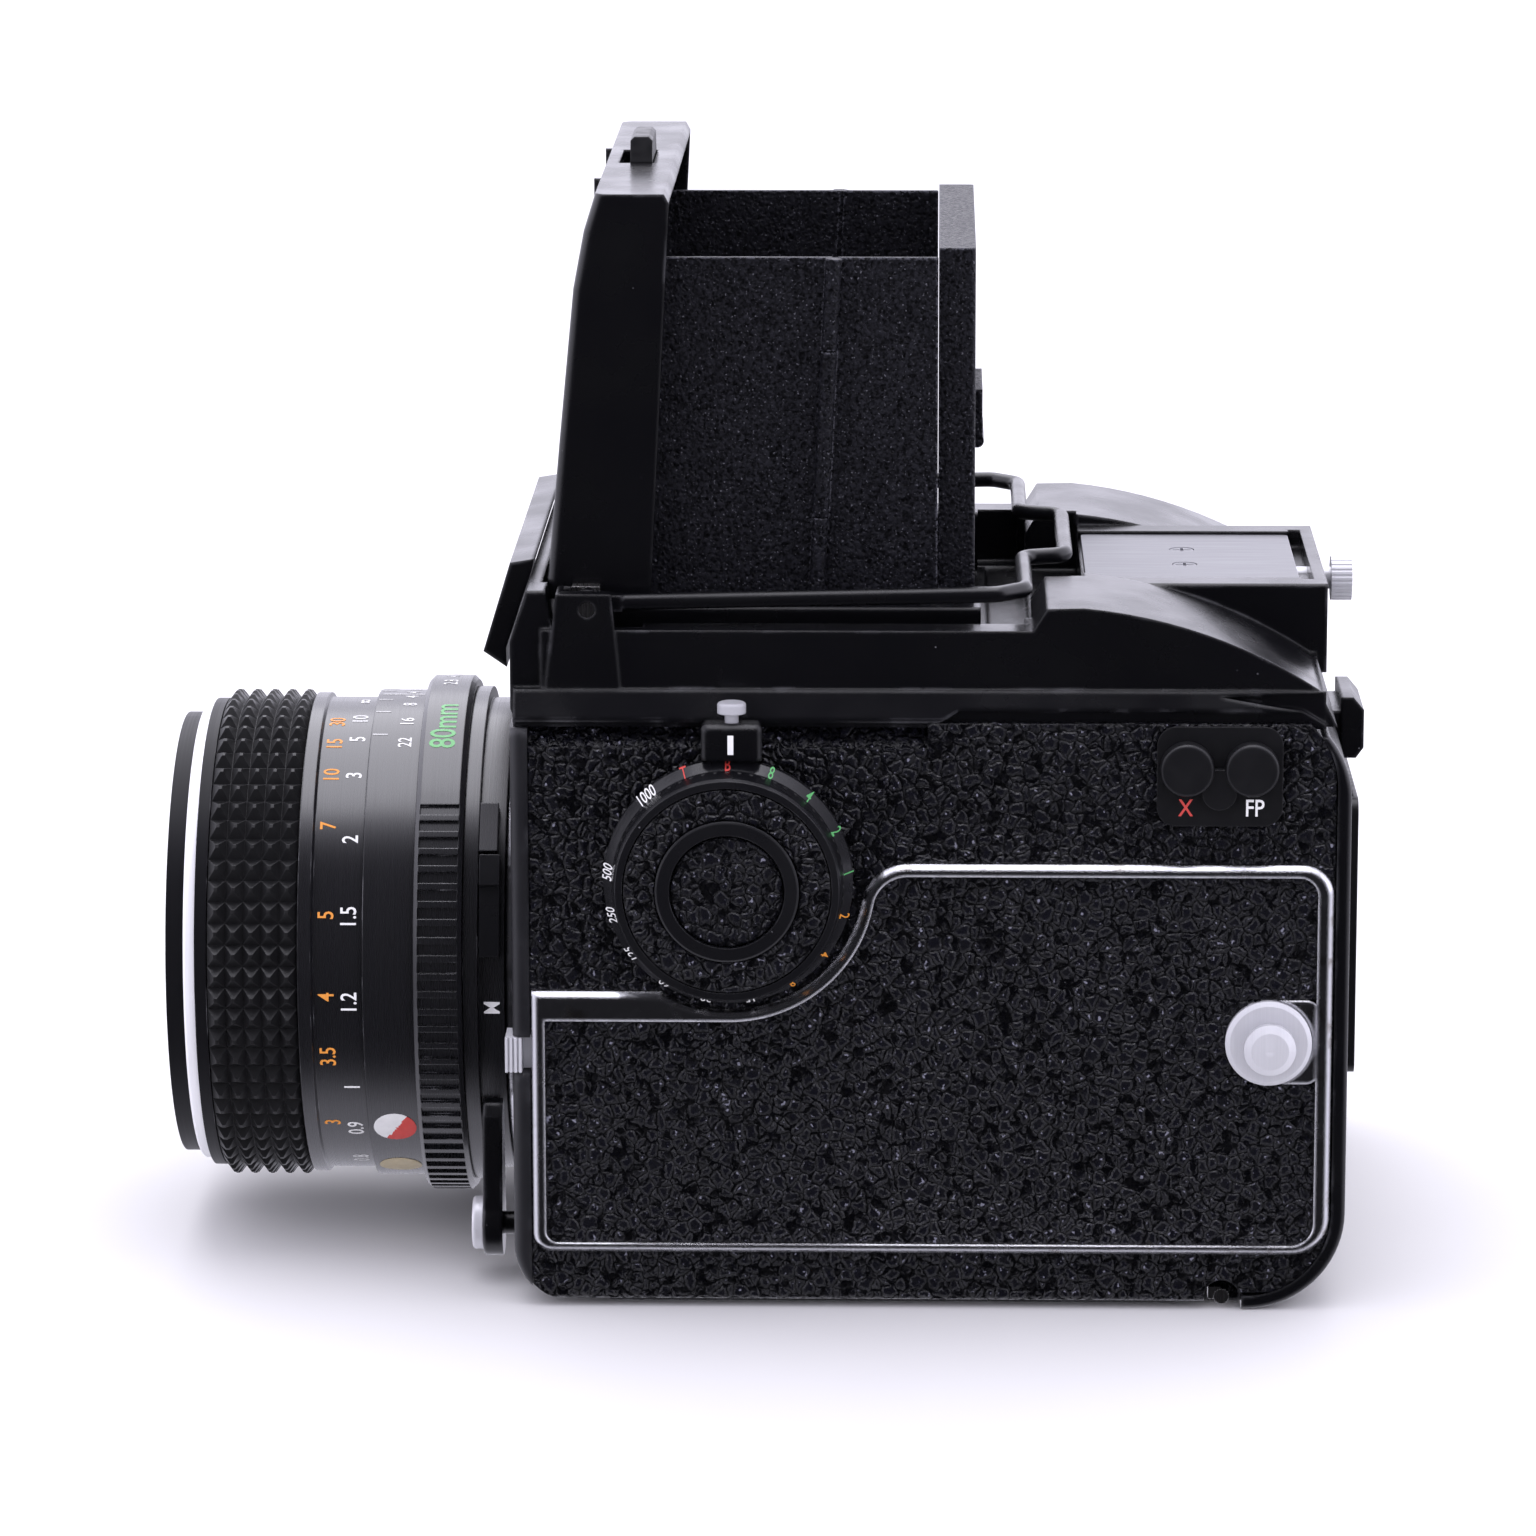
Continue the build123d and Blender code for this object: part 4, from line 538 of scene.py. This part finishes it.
def lens_lettering():
    low, high = box_mm("focus_ring")
    axis = (low.z + high.z) / 2
    ring = 32.0
    feet_y = high.y - 4.7
    metre_y = high.y - 1.7
    feet = {"30": 75, "15": 65, "10": 54, "7": 39.5, "5": 17.5, "4": -2, "3.5": -17.5, "3": -39}
    metres = {"10": 76.5, "5": 67, "3": 54, "2": 36, "1.5": 17, "1.2": -3.5, "1": -26.5, "0.9": -41.5}
    infinity = "∞"
    size = 2.1
    items = [(letter_points(t, size), on_ring(axis, ring, a, feet_y)) for t, a in feet.items()]
    marks("distance_feet", "focus", ORANGE, items)
    metres["0.8"] = -59
    metres[infinity] = 90
    items = [(letter_points(t, size), on_ring(axis, ring, a, metre_y)) for t, a in metres.items()]
    marks("distance_metres", "focus", WHITE, items)

    low, high = box_mm("lens_barrel")
    aperture_low, aperture_high = box_mm("aperture_ring")
    depth_ring = 33.0
    depth_y = aperture_low.y - 2.1
    line_y = aperture_low.y - 5.6
    depths = {"22": 26.5, "16": 18, "8": 8.5, "4": 2.5}
    items = []
    for side in (-1, 1):
        for words, turn in depths.items():
            items.append((letter_points(words, 1.8), on_ring(axis, depth_ring, 90 + side * turn, depth_y)))
        for turn in (23.5, 13, 5):
            items.append((bar_points(0.16, 2.0), on_ring(axis, depth_ring, 90 + side * turn, line_y)))
    items.append((bar_points(0.3, 5.6), on_ring(axis, depth_ring, 90, aperture_low.y - 3.4)))
    marks("depth_scale", "lens", WHITE, items)
    items = [(letter_points("M", 2.1), on_ring(axis, 32.0, -4.5, aperture_high.y + 3.9))]
    marks("mode_letter", "lens", WHITE, items)

    stops = ("2.8", "4", "5.6", "8", "11", "16", "22")
    aperture_radius = (aperture_high.z - aperture_low.z) / 2
    middle = (aperture_low.y + aperture_high.y) / 2
    items = []
    for index, stop in enumerate(stops):
        turn = 88 + 7.2 * index
        items.append((letter_points(stop, 1.9), on_ring(axis, aperture_radius, turn, middle)))
    marks("aperture_numbers", "aperture", WHITE, items)
    items = [(letter_points("80mm", 3.4), on_ring(axis, aperture_radius, 66, middle))]
    marks("focal_length", "aperture", PALE_GREEN, items)


def round_label(name, angle, colour_split):
    """Small round paper label, bent onto the depth scale ring."""
    low, high = box_mm("aperture_ring")
    axis = (low.z + high.z) / 2
    put = on_ring(axis, 33.0, angle, low.y - 3.3)
    radius, rings, sides = 2.85, 6, 40
    points = [(0.0, 0.0, 0.04)]
    for ring in range(1, rings + 1):
        reach = radius * ring / rings
        for side in range(sides):
            turn = math.tau * side / sides
            points.append((reach * math.cos(turn), reach * math.sin(turn), 0.04 if ring < rings else 0.03))
    faces = [(0, 1 + side, 1 + (side + 1) % sides) for side in range(sides)]
    for ring in range(rings - 1):
        for side in range(sides):
            a = 1 + ring * sides + side
            b = 1 + ring * sides + (side + 1) % sides
            faces.append((a, a + sides, b + sides, b))
    rim = 1 + (rings - 1) * sides
    base = len(points)
    for side in range(sides):
        turn = math.tau * side / sides
        points.append((radius * math.cos(turn), radius * math.sin(turn), -0.015))
    faces += [(rim + side, base + side, base + (side + 1) % sides, rim + (side + 1) % sides) for side in range(sides)]
    faces.append(tuple(base + side for side in reversed(range(sides))))
    mesh = mesh_from(name, [put(p) for p in points], faces)
    piece = new_piece(name, mesh, "lens", colour_split[0])
    piece.data.materials.append(colour_split[1])
    for polygon, face in zip(piece.data.polygons, faces):
        middle = [sum(points[i][k] for i in face) / len(face) for k in (0, 1)]
        polygon.material_index = 1 if middle[1] + 0.6 * middle[0] < -0.3 else 0
    return piece


def dial_lettering():
    low, high = box_mm("shutter_dial")
    centre = ((low.y + high.y) / 2, (low.z + high.z) / 2)
    block_low, block_high = box_mm("dial_index_block")
    skirt_x = block_high.x - 0.6
    stations = ("B", "8", "4", "2", "1", "2", "4", "8", "15", "30", "60", "125", "250", "500", "", "1000", "T")
    step = 360 / len(stations)
    groups = {"red": (RED, (0, 16)), "green": (GREEN, (1, 2, 3, 4)), "orange": (ORANGE, (5, 6, 7))}
    groups["white"] = (WHITE, tuple(range(8, 14)) + (15,))
    for colour, (material, chosen) in groups.items():
        items = []
        for index in chosen:
            put = on_dial(centre, 15.45, index * step, skirt_x, slope=1.45)
            items.append((letter_points(stations[index], 1.25), put))
        marks("speeds_" + colour, "dial", material, items)
    line = (bar_points(0.75, 2.5), on_side(block_high.x, (block_low.y + block_high.y) / 2 - 0.1, block_high.z - 2.6))
    marks("dial_index_line", "body", WHITE, [line])


def sync_lettering():
    low, high = box_mm("sync_plate")
    z = low.z + 2.3
    marks("sync_letter_x", "body", RED, [(letter_points("X", 2.2), on_side(high.x, low.y + 3.7, z))])
    item = (letter_points("FP", 2.2), on_side(high.x, high.y - 3.6, z))
    marks("sync_letters_fp", "body", WHITE, [item])


# ---------------------------------------------------------------- lens grip
def grip_studs():
    """Focus grip of square rubber pyramids, closed by an inner sleeve."""
    low, high = box_mm("focus_grip")
    axis = (low.z + high.z) / 2
    rows, count = 5, 70
    pitch = (high.y - low.y) / rows
    inner, valley, peak = 31.56, 31.75, 33.0
    tip = 0.09
    points, faces = [], []

    def add(radius, across, along):
        turn = math.tau * across / count
        points.append((radius * math.cos(turn), low.y + pitch * along, axis + radius * math.sin(turn)))
        return len(points) - 1

    corner = {(i, j): add(valley, i, j) for i in range(count) for j in range(rows + 1)}
    for i in range(count):
        for j in range(rows):
            base = [corner[i, j], corner[(i + 1) % count, j], corner[(i + 1) % count, j + 1], corner[i, j + 1]]
            steps = ((-tip, -tip), (tip, -tip), (tip, tip), (-tip, tip))
            top = [add(peak, i + 0.5 + u, j + 0.5 + v) for u, v in steps]
            faces.append(tuple(top))
            faces += [(base[k], base[(k + 1) % 4], top[(k + 1) % 4], top[k]) for k in range(4)]
    front = [add(inner, i, 0) for i in range(count)]
    back = [add(inner, i, rows) for i in range(count)]
    for i in range(count):
        after = (i + 1) % count
        faces.append((front[i], front[after], corner[after, 0], corner[i, 0]))
        faces.append((back[i], corner[i, rows], corner[after, rows], back[after]))
        faces.append((front[i], back[i], back[after], front[after]))
    piece = new_piece("focus_grip_studs", mesh_from("studs", points, faces), "focus", RUBBER)
    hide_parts("focus_grip")


# ---------------------------------------------------------------- folding hood
SEAM = 0.12


def hood_sheets():
    """The leaves and the rear plate: sheets that lie down as the lid closes over them."""
    leaves = {
        "hood_leaf_front_left": "leaf_front_left",
        "hood_leaf_rear_left": "leaf_rear_left",
        "hood_leaf_front_right": "leaf_front_right",
        "hood_leaf_rear_right": "leaf_rear_right",
    }
    rear_plate_low, rear_plate_high = box_mm("hood_rear_plate")
    for node, body in leaves.items():
        leaf_low, leaf_high = box_mm(node)
        gap = rear_plate_low.y - leaf_high.y
        piece = sheet_piece(node, body, gap - SEAM if "rear" in node else 0.0)
        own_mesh(piece)
    plate = sheet_piece("hood_rear_plate", "rear_plate")
    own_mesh(plate)


def sheet_piece(node, body, reach=0.0):
    """Copy of a hood sheet with its edges softened and its rear edge moved back by reach."""
    mesh = nodes[node].data.copy()
    rear_edge = max(v.co.y for v in mesh.vertices)
    for vertex in mesh.vertices:
        if vertex.co.y > rear_edge - 0.0002:
            vertex.co.y += reach * MM
    shape = bmesh.new()
    shape.from_mesh(mesh)
    bmesh.ops.remove_doubles(shape, verts=shape.verts, dist=0.00001)
    sharp = [e for e in shape.edges if len(e.link_faces) == 2 and e.calc_face_angle() > math.radians(40)]
    bmesh.ops.bevel(shape, geom=sharp, offset=0.00018, segments=2, affect="EDGES", clamp_overlap=True)
    shape.to_mesh(mesh)
    shape.free()
    for polygon in mesh.polygons:
        polygon.use_smooth = False
    piece = new_piece(node + "_sheet", mesh, body, CRINKLE)
    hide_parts(node)
    return piece


def split_trim_ring():
    """The front trim ring is bright only at its rear; ahead of that it is black like the cell."""
    ring_low, ring_high = box_mm("front_trim_ring")
    border = ring_high.y - 0.43 * (ring_high.y - ring_low.y)
    mesh = nodes["front_trim_ring"].data.copy()
    shape = bmesh.new()
    shape.from_mesh(mesh)
    everything = list(shape.verts) + list(shape.edges) + list(shape.faces)
    bmesh.ops.bisect_plane(shape, geom=everything, plane_co=(0, border * MM, 0), plane_no=(0, 1, 0))
    for face in shape.faces:
        face.material_index = 1 if face.calc_center_median().y < border * MM else 0
    shape.to_mesh(mesh)
    shape.free()
    piece = new_piece("trim_ring", mesh, "optics", SILVER)
    piece.data.materials.append(CELL_BLACK)
    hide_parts("front_trim_ring")


# ---------------------------------------------------------------- studio
def add_floor():
    size = 9.0
    mesh = bpy.data.meshes.new("floor")
    corners = [(-size, -size, 0), (size, -size, 0), (size, size, 0), (-size, size, 0)]
    mesh.from_pydata(corners, [], [(0, 1, 2, 3)])
    floor = bpy.data.objects.new("floor", mesh)
    bpy.context.scene.collection.objects.link(floor)
    floor.location.z = cad_low.z - 0.00005
    floor.visible_glossy = False
    s = Surface("floor_paper", 0.8, specular=0.1)
    s.colour(s.blend_colour(s.noise(3, 2), (0.67, 0.665, 0.655), (0.69, 0.685, 0.675)))
    s.roughness(s.spread(s.noise(40, 3), 0.3, 0.7, 0.7, 0.9))
    s.bump(s.noise(300, 3), 0.02)
    dress(floor, s.finish())


def add_area_light(name, place, target, size, power, colour=(1.0, 1.0, 1.0)):
    light = bpy.data.lights.new(name, "AREA")
    light.shape = "RECTANGLE"
    light.size, light.size_y = size
    light.energy = power
    light.color = colour
    obj = bpy.data.objects.new(name, light)
    bpy.context.scene.collection.objects.link(obj)
    obj.location = place
    obj.rotation_euler = (Vector(target) - Vector(place)).to_track_quat("-Z", "Y").to_euler()


def add_world():
    """White surroundings, dark behind the viewer so that the near side stays black.

    Reflections see the shaded surroundings; the floor's soft light and the view see plain white.
    """
    world = bpy.data.worlds.new("studio")
    bpy.context.scene.world = world
    world.use_nodes = True
    tree = world.node_tree
    make = tree.nodes.new
    background = tree.nodes["Background"]
    split = make("ShaderNodeSeparateXYZ")
    tree.links.new(make("ShaderNodeTexCoord").outputs["Generated"], split.inputs[0])

    def spread(source, low, high, out_low, out_high):
        ranged = make("ShaderNodeMapRange")
        ranged.interpolation_type = "SMOOTHSTEP"
        for key, value in zip(("From Min", "From Max", "To Min", "To Max"), (low, high, out_low, out_high)):
            ranged.inputs[key].default_value = value
        tree.links.new(source, ranged.inputs["Value"])
        return ranged.outputs["Result"]

    def choose(ray, otherwise, value):
        mix = make("ShaderNodeMix")
        tree.links.new(make("ShaderNodeLightPath").outputs[ray], mix.inputs["Factor"])
        tree.links.new(otherwise, mix.inputs["A"])
        mix.inputs["B"].default_value = value
        return mix.outputs["Result"]

    away = spread(split.outputs["X"], 0.66, 0.12, 0.03, 1.85)
    above = spread(split.outputs["Z"], -0.15, 0.05, 0.5, 1.0)
    shaded = make("ShaderNodeMath")
    shaded.operation = "MULTIPLY"
    tree.links.new(away, shaded.inputs[0])
    tree.links.new(above, shaded.inputs[1])
    strength = choose("Is Camera Ray", choose("Is Diffuse Ray", shaded.outputs["Value"], 1.75), 1.0)
    tree.links.new(strength, background.inputs["Strength"])
    tint = make("ShaderNodeMix")
    tint.data_type = "RGBA"
    tree.links.new(make("ShaderNodeLightPath").outputs["Is Camera Ray"], tint.inputs["Factor"])
    tint.inputs[6].default_value = (0.885, 0.87, 1.0, 1.0)
    tint.inputs[7].default_value = (0.97, 0.96, 1.0, 1.0)
    tree.links.new(tint.outputs[2], background.inputs["Color"])


def add_camera():
    """Long lens from the camera's left, a little above, as in a product view."""
    camera = bpy.data.objects.new("viewer", bpy.data.cameras.new("viewer"))
    bpy.context.scene.collection.objects.link(camera)
    camera.data.lens = 156.07
    camera.data.sensor_width = 36.0
    camera.data.clip_end = 50.0
    pitch, yaw, roll = 0.2160, 0.0251, 0.0019
    forward = Vector((-math.cos(pitch) * math.cos(yaw), -math.cos(pitch) * math.sin(yaw), -math.sin(pitch)))
    side = forward.cross(Vector((0, 0, 1))).normalized()
    down = forward.cross(side)
    right = math.cos(roll) * side + math.sin(roll) * down
    up = math.sin(roll) * side - math.cos(roll) * down
    turn = Matrix((right, up, -forward)).transposed()
    camera.matrix_world = Matrix.Translation((0.88121, 0.009075, 0.25455)) @ turn.to_4x4()
    bpy.context.scene.camera = camera


dress_cad_nodes()
grip_studs()
hood_sheets()
split_trim_ring()
lens_lettering()
round_label("round_label_red", -38.5, (WHITE, RED))
round_label("round_label_cream", -58.5, (CREAM, CREAM))
dial_lettering()
sync_lettering()

add_floor()
add_world()
add_area_light("overhead", (-0.34, -0.05, 0.95), (-0.05, 0.0, 0.05), (0.75, 1.5), 7.5, (0.96, 0.95, 1.0))
add_camera()
bpy.context.scene.view_settings.view_transform = "Standard"
